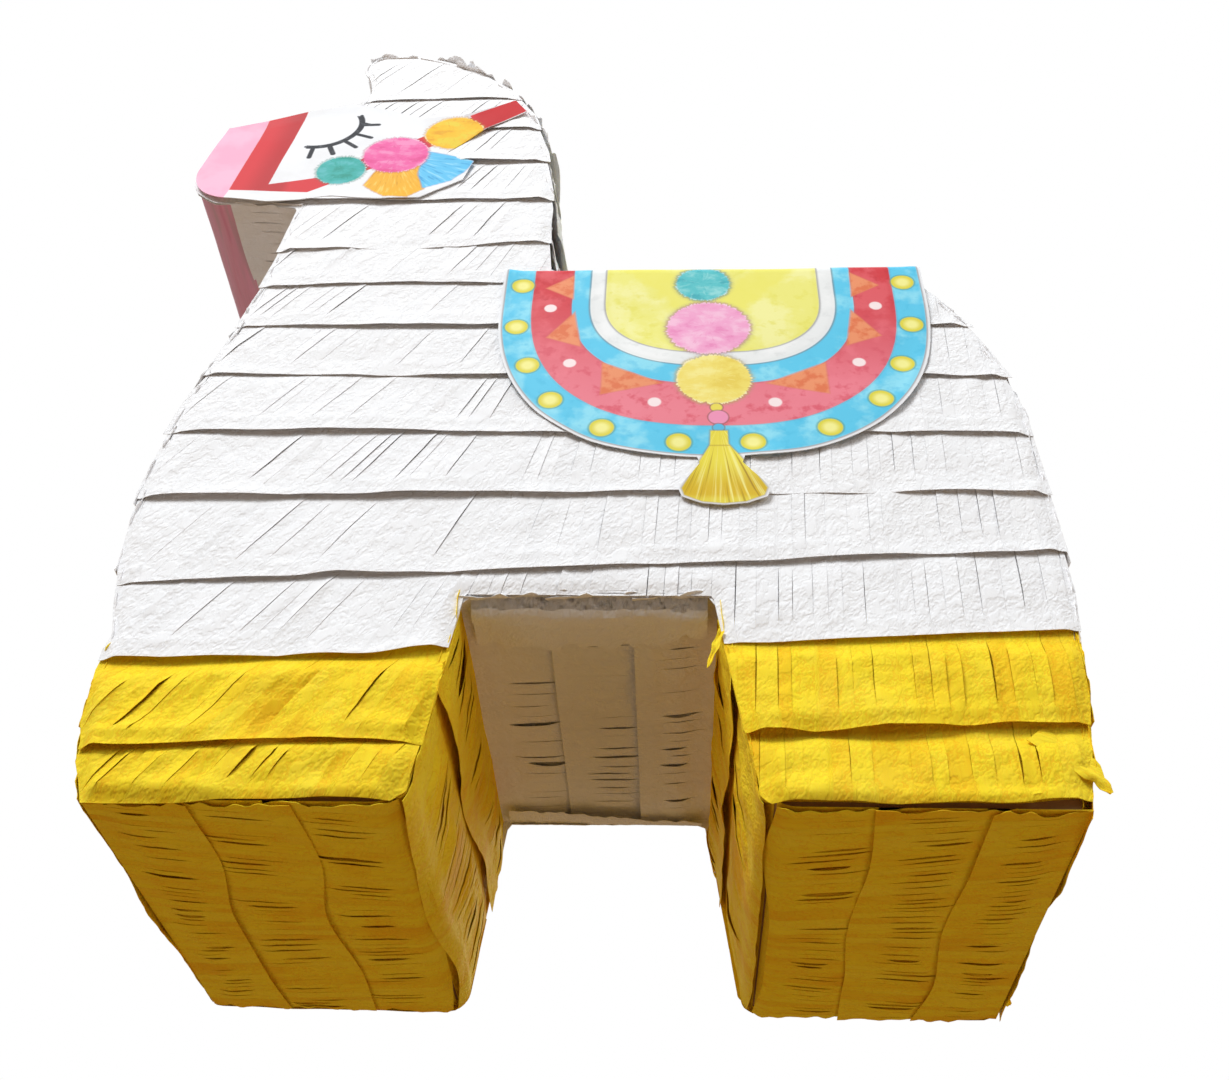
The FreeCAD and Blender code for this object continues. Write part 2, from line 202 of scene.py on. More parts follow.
class Route:
    """A line in the side view with outward normals, walked by its length in mm."""

    def __init__(self, points):
        keep = [points[0]]
        for a, b in zip(points, points[1:]):
            steps = max(1, int(np.hypot(*(b - a)) / 1.5))
            keep += [a + (b - a) * (i + 1) / steps for i in range(steps)]
        self.p = np.array(keep)
        step = np.diff(self.p, axis=0)
        self.s = np.concatenate([[0], np.cumsum(np.hypot(step[:, 0], step[:, 1]))])
        way = np.gradient(self.p, axis=0)
        way /= np.linalg.norm(way, axis=1)[:, None]
        self.way = way
        self.length = self.s[-1]
        self.side = 1.0

    def reverse(self):
        self.p, self.way = self.p[::-1], -self.way[::-1]
        self.s = self.length - self.s[::-1]
        self.side = -self.side
        return self

    def at(self, s, h):
        """The point h above the line at a length s; past the ends it goes straight on."""
        inside = np.clip(s, 0, self.length)
        x, z = (np.interp(inside, self.s, self.p[:, i]) for i in (0, 1))
        wx, wz = (np.interp(inside, self.s, self.way[:, i]) for i in (0, 1))
        over = s - inside
        return (x + wx * over - wz * h * self.side, z + wz * over + wx * h * self.side)

    def where_height(self, z):
        """The length at which the line last crosses a height."""
        hits = np.nonzero((self.p[:-1, 1] - z) * (self.p[1:, 1] - z) <= 0)[0]
        return self.s[hits[-1]]


def route(first, last, backwards=False):
    """The outline from one named corner on to another, clockwise."""
    a, b = (int(np.argmin(((LOOP - CORNERS[n]) ** 2).sum(1))) for n in (first, last))
    count = (b - a) % len(LOOP)
    points = LOOP[[(a + i) % len(LOOP) for i in range(count + 1)]]
    line = Route(points)
    return line.reverse() if backwards else line


def is_inside(x, z, loop):
    """True where points of the side view lie within a closed line."""
    hit = np.zeros(np.shape(x), bool)
    for (ax, az), (bx, bz) in zip(loop, np.roll(loop, -1, 0)):
        if az != bz:
            cross = (az > z) != (bz > z)
            hit ^= cross & (x < (bx - ax) * (z - az) / (bz - az) + ax)
    return hit


def nearest(x, z, loop):
    """The closest point of a closed line to each point, and how far it is."""
    best = np.full(np.shape(x), 1e9)
    nx, nz = np.array(x, float), np.array(z, float)
    for (ax, az), (bx, bz) in zip(loop, np.roll(loop, -1, 0)):
        dx, dz = bx - ax, bz - az
        t = np.clip(((x - ax) * dx + (z - az) * dz) / (dx * dx + dz * dz + 1e-12), 0, 1)
        px, pz = ax + t * dx, az + t * dz
        d = np.hypot(px - x, pz - z)
        closer = d < best
        best = np.where(closer, d, best)
        nx, nz = np.where(closer, px, nx), np.where(closer, pz, nz)
    return nx, nz, best


# ---- noise -----------------------------------------------------------------------
def noise(x, y, seed):
    """Smooth noise from -1 to 1."""
    table = np.random.default_rng(seed).uniform(-1, 1, (97, 97))
    xi, yi = np.floor(x).astype(int), np.floor(y).astype(int)
    fx, fy = x - xi, y - yi
    fx, fy = fx * fx * (3 - 2 * fx), fy * fy * (3 - 2 * fy)
    a, b = table[xi % 97, yi % 97], table[(xi + 1) % 97, yi % 97]
    c, d = table[xi % 97, (yi + 1) % 97], table[(xi + 1) % 97, (yi + 1) % 97]
    return (a + (b - a) * fx) * (1 - fy) + (c + (d - c) * fx) * fy


def facets(u, v, size, seed):
    """Creased paper from 0 to 1: flat triangles that meet in sharp folds."""
    x = np.asarray(u / size + 0.45 * noise(u / size * 0.9, v / size * 0.9, seed + 31), float)
    y = np.asarray(v / size + 0.45 * noise(u / size * 0.8, v / size * 0.8, seed + 37), float)
    x, y = x * 0.87 + y * 0.5, y * 0.87 - x * 0.5
    table = np.random.default_rng(seed).uniform(0, 1, (89, 89))
    xi, yi = np.floor(x).astype(int), np.floor(y).astype(int)
    fx, fy = x - xi, y - yi
    a, b = table[xi % 89, yi % 89], table[(xi + 1) % 89, yi % 89]
    c, d = table[xi % 89, (yi + 1) % 89], table[(xi + 1) % 89, (yi + 1) % 89]
    return np.where(fx + fy < 1, a + (b - a) * fx + (c - a) * fy,
                    d + (c - d) * (1 - fx) + (b - d) * (1 - fy))


def crumple(u, v, size, seed):
    """Big folds with small ones across them."""
    return 0.7 * facets(u, v, size, seed) + 0.3 * facets(u, v, size * 0.42, seed + 41)


def ease(x, a, b):
    t = np.clip((x - a) / (b - a), 0, 1)
    return t * t * (3 - 2 * t)


# ---- sheets ----------------------------------------------------------------------
THICK = 0.16                  # a sheet of crepe
TUCK = 8.0                    # how far a strip reaches beneath the one above it
UNDER_PRINT = 2.0             # crepe is pressed down to this beneath a print
HELD_DOWN = 0.8               # and to this beneath the row above
HELD_SLOPE = 0.45             # how fast it may rise below that row
SHARP = math.radians(42)      # folds sharper than this show a hard edge


class Paper:
    """Faces gathered from many cut sheets, for one piece."""

    def __init__(self):
        self.points, self.faces, self.strip, self.count = [], [], [], 0

    def add(self, top, under, faces, strip):
        """A closed thin sheet: top and under hold the same points on its two sides."""
        used = np.unique(faces)
        fresh = np.full(len(top), -1)
        fresh[used] = np.arange(len(used))
        faces = fresh[faces]
        n = len(used)
        edges = np.concatenate([faces[:, [i, (i + 1) % 4]] for i in range(4)])
        edges = edges[edges[:, 0] != edges[:, 1]]
        code = edges[:, 0] * n + edges[:, 1]
        back = edges[:, 1] * n + edges[:, 0]
        rim = edges[~np.isin(code, back)]
        wall = np.stack([rim[:, 1], rim[:, 0], rim[:, 0] + n, rim[:, 1] + n], 1)
        whole = np.concatenate([faces, faces[:, ::-1] + n, wall])
        self.points.append(np.concatenate([top[used], under[used]]))
        self.faces.append(whole + self.count)
        self.strip.append(np.concatenate([strip[used], strip[used]]))
        self.count += 2 * n

    def lay(self, surface, faces, strip, thick=THICK):
        """A sheet from a surface that gives its x, y and z at a height over its middle."""
        over, under = (np.stack(surface(k * thick / 2), 1) for k in (1, -1))
        self.add(over, under, faces, np.stack(strip, 1))

    def build(self, name, material, body, replaces, slot):
        """The finished mesh object, riding on its body."""
        points = np.concatenate(self.points) * MM
        faces = np.concatenate(self.faces)
        name = name + "_paper"
        mesh = bpy.data.meshes.new(name)
        mesh.vertices.add(len(points))
        mesh.vertices.foreach_set("co", points.astype(np.float32).ravel())
        mesh.loops.add(faces.size)
        mesh.loops.foreach_set("vertex_index", faces.astype(np.int32).ravel())
        mesh.polygons.add(len(faces))
        mesh.polygons.foreach_set("loop_start", np.arange(0, faces.size, 4, dtype=np.int32))
        mesh.polygons.foreach_set("loop_total", np.full(len(faces), 4, dtype=np.int32))
        mesh.update(calc_edges=True)
        place = mesh.attributes.new("strip", "FLOAT_VECTOR", "POINT")
        place.data.foreach_set("vector",
                               np.concatenate(self.strip).astype(np.float32).ravel())
        return finish_mesh(mesh, name, material, body, replaces)


def finish_mesh(mesh, name, material, body, replaces):
    """Cleans a mesh, shades it and hangs it on its body."""
    bm = bmesh.new()
    bm.from_mesh(mesh)
    bmesh.ops.dissolve_degenerate(bm, dist=1e-6, edges=bm.edges)
    bmesh.ops.recalc_face_normals(bm, faces=bm.faces)
    bm.to_mesh(mesh)
    bm.free()
    mesh.polygons.foreach_set("use_smooth", np.ones(len(mesh.polygons), bool))
    mesh.set_sharp_from_angle(angle=SHARP)
    mesh.update()
    piece = bpy.data.objects.new(name, mesh)
    bpy.context.scene.collection.objects.link(piece)
    mesh.materials.append(material)
    if body:
        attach(piece, body)
    if replaces:
        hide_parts(*replaces)
    return piece


def grid_faces(ids):
    """Quads over a grid of point numbers, the first axis across and the next down."""
    return np.stack([ids[:-1, :-1], ids[:-1, 1:], ids[1:, 1:], ids[1:, :-1]], -1).reshape(-1, 4)


@dataclass
class Cut:
    """How one strip is slit and how lively it is. Sizes are in mm."""
    ribbon: float                      # usual width between two slits
    band: float                        # paper left whole along the free edge
    lift: float                        # how far the free edge stands off
    slant: Callable = lambda u: 0.0    # lean of the slits at a place, in radians
    open_at: Callable = lambda u: 1.0  # how far the slits gape at a place
    rise: float = 0.5                  # of a ribbon's edges
    gap: float = 0.12                  # between two ribbons
    fold: float = 0.35                 # height of the small creases
    fold_size: float = 7.0
    soft: float = 0.0                  # height of the big soft folds
    wave: float = 0.45                 # slow swell across the strip
    curl: float = 0.5                  # at the free edge
    hem: float = 0.0                   # ridge where the slits end
    dashes: float = 0.0                # 0 for whole slits, 1 for short ones
    tear: float = 1.2                  # raggedness of the strip's two ends
    wander: float = 0.0                # how far the free edge strays up and down
    tilt: float = 0.0                  # of whole ribbons
    held: float = 0.0                  # how much of its top the row above holds down


ROW_STEP = 1.3                # mesh rows down a strip, in mm
ACROSS = 4                    # mesh faces across one ribbon
FOLD_LEAN = 0.35              # keeps the big soft folds from lining up with the slits
SHUT_SHARE = 0.12             # of the slits, the ones that stay shut


def ribbon_lift(left, right, tt, live, cut, rng):
    """How far the ribbons stand up: at one edge or the other, bowed, and tilted."""
    n = len(live) - 1
    up_left = (rng.uniform(0, 1, n) ** 1.5 * live[:-1] * cut.rise)[:, None, None]
    up_right = (rng.uniform(0, 1, n) ** 1.5 * live[1:] * cut.rise)[:, None, None]
    favour = (rng.random(n) < 0.7)[:, None, None]
    up_left = np.where(favour, up_left, up_left * 0.15)
    up_right = np.where(favour, up_right * 0.15, up_right)
    bow = (rng.uniform(-0.1, 0.7, n) * cut.rise * live[:-1])[:, None, None]
    lift = up_left * left * (1 - tt) ** 1.4 + up_right * right * tt ** 1.4
    lift = lift + bow * np.minimum(left, right) * 4 * tt * (1 - tt)
    tilt = (rng.uniform(-1, 1, n) * cut.tilt)[:, None, None]
    return lift + np.maximum(tilt * (2 * tt - 1), 0) * np.minimum(left, right) ** 0.5


def sheet_height(u, v, lift, drop, cut, seed):
    """How high a slit strip stands: flat at its glued top, crumpled and curled below."""
    f = v / drop
    calm = ease(v, 3.0, 12.0)
    loose = 0.45 + 0.9 * np.abs(noise(u / 48, 0 * u, seed + 21)) ** 0.8
    high = 0.35 + cut.lift * f * (1 - f + f * loose * 1.3)
    high = high + cut.soft * calm * crumple(u, v + FOLD_LEAN * u, 19.0, seed + 17)
    high = high + cut.hem * np.exp(-((v - drop + cut.band * 0.9) / 1.6) ** 2) * (
        0.5 + 0.7 * noise(u / 25, 0 * u, seed + 19))
    high = high + cut.wave * calm * f * noise(u / 34, v / 60, seed)
    high = high + 0.5 * cut.wave * calm * f * noise(u / 13, v / 30, seed + 5)
    high = high + cut.fold * calm * crumple(u, v, cut.fold_size, seed + 9)
    high = high + lift * calm
    lip = ease(v, drop - 5, drop)
    high = high + cut.curl * lip * (0.35 + 0.65 * noise(u / 18, 0 * u, seed + 13))
    if cut.held:
        high = np.minimum(high, HELD_DOWN + HELD_SLOPE * np.maximum(v - cut.held, 0))
    return high


def slit_strip(u0, u1, drop, cut, rng):
    """A slit strip laid flat: across, down and height of each point, with its faces."""
    n = max(2, int(round((u1 - u0) / cut.ribbon)))
    widths = rng.uniform(0.7, 1.3, n)
    edge = u0 + np.concatenate([[0], np.cumsum(widths)]) / widths.sum() * (u1 - u0)
    rows = max(8, int(drop / ROW_STEP))
    v = np.linspace(0, drop, rows + 1)
    t = np.linspace(0, 1, ACROSS + 1)
    start = rng.uniform(0.05, 0.28, n + 1) * drop
    end = drop - cut.band * rng.uniform(0.75, 1.35, n + 1)
    whole = end - start
    start = start + whole * rng.uniform(0.0, 0.55, n + 1) * cut.dashes
    end = end - (end - start) * rng.uniform(0.1, 0.7, n + 1) * cut.dashes
    live = np.array([cut.open_at(u) for u in edge])
    live = np.clip(live * rng.uniform(0.3, 1.5, n + 1), 0, 1.6)
    live[rng.random(n + 1) < SHUT_SHARE] = 0.0
    span = np.clip((v[None] - start[:, None]) / (end - start)[:, None], 0, 1)
    bump = np.sin(np.pi * span) ** 0.6 * (live[:, None] > 0)
    slit = (span > 0) & (span < 1) & (live[:, None] > 0)
    slit[[0, -1]] = False
    ids = np.arange(n * (ACROSS + 1) * (rows + 1)).reshape(n, ACROSS + 1, rows + 1)
    for k in range(1, n):
        ids[k, 0] = np.where(slit[k], ids[k, 0], ids[k - 1, ACROSS])
    left, right = bump[:-1, None, :], bump[1:, None, :]
    tt = t[None, :, None]
    lift = ribbon_lift(left, right, tt, live, cut, rng)
    gap = (rng.uniform(0.1, 1.0, n + 1) * cut.gap * np.maximum(live, 0.2))
    width = np.diff(edge)[:, None, None]
    u = edge[:-1, None, None] + width * tt
    u = u + gap[:-1, None, None] * left * (1 - tt) - gap[1:, None, None] * right * tt
    u = np.broadcast_to(u, (n, ACROSS + 1, rows + 1)).copy()
    vv = np.broadcast_to(v[None, None], u.shape).copy()
    lean = np.tan(np.array([cut.slant(x) for x in edge]))
    lean = lean[:-1, None, None] * (1 - tt) + lean[1:, None, None] * tt
    keep = ease(u, u0, u0 + 6) * (1 - ease(u, u1 - 6, u1))
    u = u - lean * (vv - drop * 0.5) * keep
    seed = int(rng.integers(1 << 30))
    high = sheet_height(u, vv, lift, drop, cut, seed)
    vv = vv + cut.wander * (vv / drop) * (noise(u / 37, 0 * u, seed + 23) - 0.3)
    tag = rng.random(n)[:, None, None] + 0 * u
    flat = [a.reshape(-1) for a in (u, vv, high, tag)]
    return flat + [np.concatenate([grid_faces(ribbon) for ribbon in ids])]


def plain_strip(u0, u1, drop, high, step=2.4):
    """An uncut sheet at a steady height, as the ply beneath the slits."""
    n, rows = max(2, int((u1 - u0) / step)), max(2, int(drop / step))
    u, v = np.meshgrid(np.linspace(u0, u1, n + 1), np.linspace(0, drop, rows + 1),
                       indexing="ij")
    ids = np.arange(u.size).reshape(u.shape)
    flat = [a.reshape(-1) for a in (u, v, high + 0 * u, 0 * u)]
    return flat + [grid_faces(ids)]


def trim(x, z, faces, loop):
    """Cuts a sheet to a closed line: outer points slide on to it, far faces go."""
    inside = is_inside(x, z, loop)
    faces = faces[inside[faces].any(1)]
    loose = np.zeros(len(x), bool)
    loose[np.unique(faces)] = True
    loose &= ~inside
    nx, nz, _ = nearest(x[loose], z[loose], loop)
    x, z = x.copy(), z.copy()
    x[loose], z[loose] = nx, nz
    return x, z, faces


ROPE_GAP = 4.2                # radius of a hole cut in paper for the rope


def rope_holes(middle):
    """The rope's round holes in a sheet, each about the middle found from its x in mm."""
    turns = np.linspace(0, 2 * math.pi, 25)[:-1]
    ring = np.array([(math.cos(a), math.sin(a)) for a in turns])
    return [ring * ROPE_GAP + middle(mount["pos_m"][0] / MM)
            for mount in frame["record"]["mounts"] if mount["name"].startswith("rope_hole")]


def punch(x, y, faces, hole):
    """Cuts a hole in a sheet: the points within it slide out to its edge, in place."""
    inside = is_inside(x, y, hole)
    x[inside], y[inside], _ = nearest(x[inside], y[inside], hole)
    return faces[~inside[faces].all(1)]


# ---- materials -------------------------------------------------------------------
def toned(colour, by):
    """A colour made darker or lighter."""
    return tuple(min(c * by, 1.0) for c in colour)


def feed(tree, slot, value):
    """Links a varying number to a socket, or writes a steady one on it."""
    if isinstance(value, Ink):
        tree.links.new(value.socket, slot)
    else:
        slot.default_value = value


class Ink:
    """A number that varies over a surface, written as shader nodes."""

    def __init__(self, tree, socket):
        self.tree, self.socket = tree, socket

    def op(self, kind, *others, clamp=False):
        node = self.tree.nodes.new("ShaderNodeMath")
        node.operation, node.use_clamp = kind, clamp
        for slot, value in zip(node.inputs, (self,) + others):
            feed(self.tree, slot, value)
        return Ink(self.tree, node.outputs[0])

    def __add__(self, other):
        return self.op("ADD", other)

    def __sub__(self, other):
        return self.op("SUBTRACT", other)

    def __rsub__(self, other):
        return (self * -1.0).op("ADD", other)

    def __mul__(self, other):
        return self.op("MULTIPLY", other)

    def __truediv__(self, other):
        return self.op("DIVIDE", other)

    def __abs__(self):
        return self.op("ABSOLUTE")

    def low(self, other):
        return self.op("MINIMUM", other)

    def high(self, other):
        return self.op("MAXIMUM", other)

    def step(self, a, b, hi=1.0, lo=0.0):
        """Eased from lo at a to hi at b."""
        node = self.tree.nodes.new("ShaderNodeMapRange")
        node.interpolation_type = "SMOOTHSTEP"
        self.tree.links.new(self.socket, node.inputs["Value"])
        for key, value in (("From Min", a), ("From Max", b), ("To Min", lo),
                           ("To Max", hi)):
            node.inputs[key].default_value = value
        return Ink(self.tree, node.outputs["Result"])


def hypot(a, b):
    return (a * a + b * b).op("SQRT")


class Finish:
    """A material being mixed: its shader, coordinates and layers of colour."""

    def __init__(self, name, base, roughness, sheen=0.0):
        self.material = bpy.data.materials.new(name)
        self.material.use_nodes = True
        self.tree = self.material.node_tree
        self.shader = self.tree.nodes["Principled BSDF"]
        self.shader.inputs["Roughness"].default_value = roughness
        self.shader.inputs["Sheen Weight"].default_value = sheen
        self.shader.inputs["Specular IOR Level"].default_value = 0.3
        node = self.tree.nodes.new("ShaderNodeRGB")
        node.outputs[0].default_value = (*base, 1.0)
        self.colour = node.outputs[0]
        self.height = None

    def place(self, kind="Object"):
        """The surface's x, y and z in mm: in the frame, or along the strip."""
        if kind == "strip":
            node = self.tree.nodes.new("ShaderNodeAttribute")
            node.attribute_name = "strip"
            source, scale = node.outputs["Vector"], 1.0
        else:
            node = self.tree.nodes.new("ShaderNodeTexCoord")
            source, scale = node.outputs["Object"], 1.0 / MM
        split = self.tree.nodes.new("ShaderNodeSeparateXYZ")
        self.tree.links.new(source, split.inputs[0])
        return [Ink(self.tree, out) * scale for out in split.outputs]

    def vector(self, x, y, z=0.0):
        node = self.tree.nodes.new("ShaderNodeCombineXYZ")
        for slot, value in zip(node.inputs, (x, y, z)):
            feed(self.tree, slot, value)
        return node.outputs[0]

    def noise(self, vector, scale=1.0, detail=3.0, rough=0.55):
        node = self.tree.nodes.new("ShaderNodeTexNoise")
        node.inputs["Scale"].default_value = scale
        node.inputs["Detail"].default_value = detail
        node.inputs["Roughness"].default_value = rough
        self.tree.links.new(vector, node.inputs["Vector"])
        return Ink(self.tree, node.outputs["Fac"])

    def mix(self, colour, mask, mode="MIX"):
        """Lays a colour over what is there, where the mask is 1."""
        node = self.tree.nodes.new("ShaderNodeMix")
        node.data_type, node.blend_type = "RGBA", mode
        factor, below, above = node.inputs[0], node.inputs[6], node.inputs[7]
        feed(self.tree, factor, mask)
        self.tree.links.new(self.colour, below)
        above.default_value = (*colour, 1.0)
        self.colour = node.outputs[2]
        return self

    def bump(self, height, strength, distance):
        node = self.tree.nodes.new("ShaderNodeBump")
        node.inputs["Strength"].default_value = strength
        node.inputs["Distance"].default_value = distance * MM
        self.tree.links.new(height.socket, node.inputs["Height"])
        if self.height:
            self.tree.links.new(self.height, node.inputs["Normal"])
        self.height = node.outputs[0]
        return self

    def done(self):
        self.tree.links.new(self.colour, self.shader.inputs["Base Color"])
        if self.height:
            self.tree.links.new(self.height, self.shader.inputs["Normal"])
        return self.material


def crepe_finish(name, base, shade, light, glow, shade_strength):
    """Crepe paper: fine ridges along the slits and creases, with painted shade and light.

    Shade is painted along the fine ridges and in the creases, lit and shaded tones are painted
    ribbon by ribbon, and the paper is darker and lighter in large clouds. Light soaks a little way
    through it, so its folds are never black.
    """
    f = Finish(name, base, 0.75)
    f.shader.inputs["Specular IOR Level"].default_value = 0.15
    f.shader.inputs["Subsurface Weight"].default_value = 0.10
    f.shader.inputs["Subsurface Radius"].default_value = glow
    f.shader.inputs["Subsurface Scale"].default_value = 0.6 * MM
    u, v, tag = f.place("strip")
    ridges = f.noise(f.vector(u * 1.3, v * 0.06, tag * 9.0), detail=4.0, rough=0.6)
    crease = f.noise(f.vector(u * 0.16 + v * 0.05, v * 0.12, tag * 2.0), rough=0.7)
    cloud = f.noise(f.vector(u * 0.05, v * 0.04, tag * 0.6), detail=2.0)
    fold = abs(crease - 0.5)
    # painted shade along the fine ridges
    f.mix(shade, ridges.step(0.40, 0.72, 0.35 * shade_strength))
    # darker and lighter in large clouds
    f.mix(shade, cloud.step(0.50, 0.72, 0.60 * shade_strength))
    f.mix(light, cloud.step(0.48, 0.30, 0.60))
    # painted shade in the creases
    f.mix(shade, fold.step(0.025, 0.0, 0.65 * shade_strength))
    # painted shade and painted light, ribbon by ribbon, as if each ribbon faced the light at its
    # own angle
    f.mix(shade, tag.step(0.55, 1.0, 0.45 * shade_strength))
    f.mix(light, tag.step(0.45, 0.05, 0.35))
    f.bump(fold.step(0.0, 0.12), 0.3, 0.8)
    f.bump(ridges, 0.5, 0.2)
    return f.done()


def card_finish(name, base, flutes=0.0):
    """Brown card: pulp fibres, flecks and, on corrugated board, faint flutes."""
    f = Finish(name, base, 0.9)
    x, y, z = f.place()
    fibres = f.noise(f.vector(x * 0.25, y * 0.25, z * 1.6), detail=6.0, rough=0.7)
    flecks = f.noise(f.vector(x, y, z), 1.7, 2.0, 0.5)
    f.mix(toned(base, 0.62), fibres.step(0.4, 0.75, 0.55))
    f.mix(toned(base, 0.35), flecks.step(0.68, 0.78, 0.6))
    f.mix(toned(base, 1.35), flecks.step(0.36, 0.24, 0.35))
    if flutes:
        wave = (x * (2 * math.pi / flutes)).op("SINE")
        f.bump(wave, 0.25, 0.3)
        f.mix(toned(base, 0.8), wave.step(0.2, 1.0, 0.2))
    f.bump(fibres, 0.3, 0.2)
    return f.done()


def wood_finish(name, base):
    """Pale dowel: long grain and small pores."""
    f = Finish(name, base, 0.62)
    x, y, z = f.place()
    grain = f.noise(f.vector(x * 0.9, y * 0.05, z * 0.9), detail=5.0, rough=0.65)
    pores = f.noise(f.vector(x * 3.0, y * 0.3, z * 3.0), detail=2.0)
    f.mix(toned(base, 0.55), grain.step(0.42, 0.7, 0.7))
    f.mix(toned(base, 0.4), pores.step(0.66, 0.74, 0.5))
    f.bump(grain, 0.3, 0.2)
    return f.done()


# ---- places ----------------------------------------------------------------------
def box_mm(node):
    low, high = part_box(node)
    return np.array(low) / MM, np.array(high) / MM


def dice(name):
    """Random numbers that depend only on the piece's name and the seed."""
    return np.random.default_rng([crepe().seed] + list(name.encode()))


def crepe():
    return bpy.context.scene.pinata_crepe


def prints():
    return bpy.context.scene.pinata_print


FINISHES = {}


def finish(name, make):
    """One finish shared by many pieces, kept here and never looked up by name.

    The frame brings plain materials of its own that have the slots' names.
    """
    if name not in FINISHES:
        FINISHES[name] = make()
    return FINISHES[name]


def white_crepe():
    base = crepe().white
    # after the base: the painted shade colour, the painted light colour, the glow through the
    # paper and how strong the painted shade is
    return finish("white", lambda: crepe_finish(
        "slit_white_crepe", base, toned(base, 0.88), (0.96, 0.96, 0.975),
        (1.0, 1.0, 1.0), 0.45))


def yellow_crepe():
    base = crepe().yellow
    # after the base: the orange painted shade colour, the painted light colour, the glow through
    # the paper and how strong the painted shade is
    return finish("yellow", lambda: crepe_finish(
        "slit_yellow_crepe", base, srgb(240, 164, 6), srgb(254, 224, 56),
        (1.0, 0.55, 0.03), 0.65))


FULLNESS = 2.45               # of the saddle's outline: 2 is an ellipse, more is squarer
HEM = 125.0                   # height of the saddle's round edge, above its tassel
TASSEL = [(51.4, 0.2), (47.3, -7.0), (43.0, -13.8), (44.2, -17.4), (50.2, -20.0),
          (57.0, -20.8), (64.0, -20.0), (70.2, -17.4), (71.4, -13.8), (66.0, -7.0),
          (61.0, 0.2)]        # its cut edge, across and below the hem
SADDLE_LOOP = node_loop("saddle")
PRINT_LOOP = node_loop("face_print_front")


def covered(x, z):
    """1 well under the saddle or a face print, easing to 0 at its edge."""
    total = np.zeros(np.shape(x))
    for loop in (SADDLE_LOOP, PRINT_LOOP):
        inside = is_inside(x, z, loop)
        if inside.any():
            _, _, far = nearest(x[inside], z[inside], loop)
            total[inside] = np.maximum(total[inside], ease(far, 0.0, 3.0))
    return total


# ---- rows on the side panels -------------------------------------------------------
def ragged(loop, rng, size, flare=0.0):
    """The loop with its edge torn in and out a little, and pushed out by a flare."""
    ahead = np.roll(loop, -1, 0) - np.roll(loop, 1, 0)
    ahead /= np.linalg.norm(ahead, axis=1)[:, None] + 1e-9
    s = np.cumsum(np.hypot(*(np.roll(loop, -1, 0) - loop).T))
    seed = int(rng.integers(1 << 30))
    tear = noise(s / 5.0, 0 * s, seed) * 0.6 + noise(s / 1.7, 0 * s, seed + 1) * 0.4
    out = np.stack([-ahead[:, 1], ahead[:, 0]], 1)
    return loop + out * (tear * size + flare)[:, None]


def side_sheet(paper, data, side, low, drop, loop):
    """Lays one flat sheet of a side row on its panel."""
    u, v, high, tag, faces = data
    z = low(u) + drop - v
    x, z, faces = trim(u, z, faces, loop)
    if not len(faces):
        return
    _, _, far = nearest(x, z, LOOP)
    far = np.where(is_inside(x, z, LOOP), far, 0.0)
    high = 0.3 + (high - 0.3) * (0.35 + 0.65 * ease(far, 0.0, 5.0))
    press = covered(x, z)
    high = high * (1 - press) + np.minimum(high, UNDER_PRINT) * press
    paper.lay(lambda h: (x, side * (CORE_HALF + high + h), z), faces, (u, v, tag))


def side_row(name, side, low, drop, cut, material, slot):
    rng = dice(name)
    paper = Paper()
    near = LOOP[(LOOP[:, 1] > low(0) - 12) & (LOOP[:, 1] < low(0) + drop + 12)]
    x0, x1 = near[:, 0].min() - 3, near[:, 0].max() + 3
    f = np.clip((low(0) + drop - LOOP[:, 1]) / drop, 0, 1)
    loop = ragged(LOOP, rng, 1.0, 1.3 * f ** 2 * (LOOP[:, 1] > BELLY + 4))
    loop[:, 1] = np.maximum(loop[:, 1], SOLE_Z)
    side_sheet(paper, plain_strip(x0, x1, drop - 1.5, 0.16), side,
               lambda x: low(x) + 1.5, drop - 1.5, loop)
    side_sheet(paper, slit_strip(x0, x1, drop, cut, rng), side, low, drop, loop)
    return paper, lambda: paper.build(name, material, SHELL, [name], slot)


WHITE_LEFT = [48, 76, 109, 139, 168, 194, 219, 243, 275, 303, 329, 355]
WHITE_RIGHT = [57, 86, 110, 136, 165, 192, 219, 249, 276, 303, 330, 356]
YELLOW_LEFT = [1, 18]
YELLOW_RIGHT = [3, 26]
LEFT_X, RIGHT_X = -62.0, 125.0
TOP = 400.0


def edge_line(left, right, rng):
    """A free edge's height across the panel: straight, with a slow wander."""
    seed = int(rng.integers(1 << 30))
    return lambda x: (left + (right - left) * (x - LEFT_X) / (RIGHT_X - LEFT_X)
                      + 1.2 * noise(np.asarray(x, float) / 55, 0.0 * np.asarray(x), seed)
                      + 0.5 * noise(np.asarray(x, float) / 14, 0.0 * np.asarray(x), seed + 1))


def slant_at(x):
    """How far the slits lean, in radians: steep on the chest, upright on the rump."""
    return math.radians(28) * float(1 - ease(x, -70, 40)) + math.radians(3)


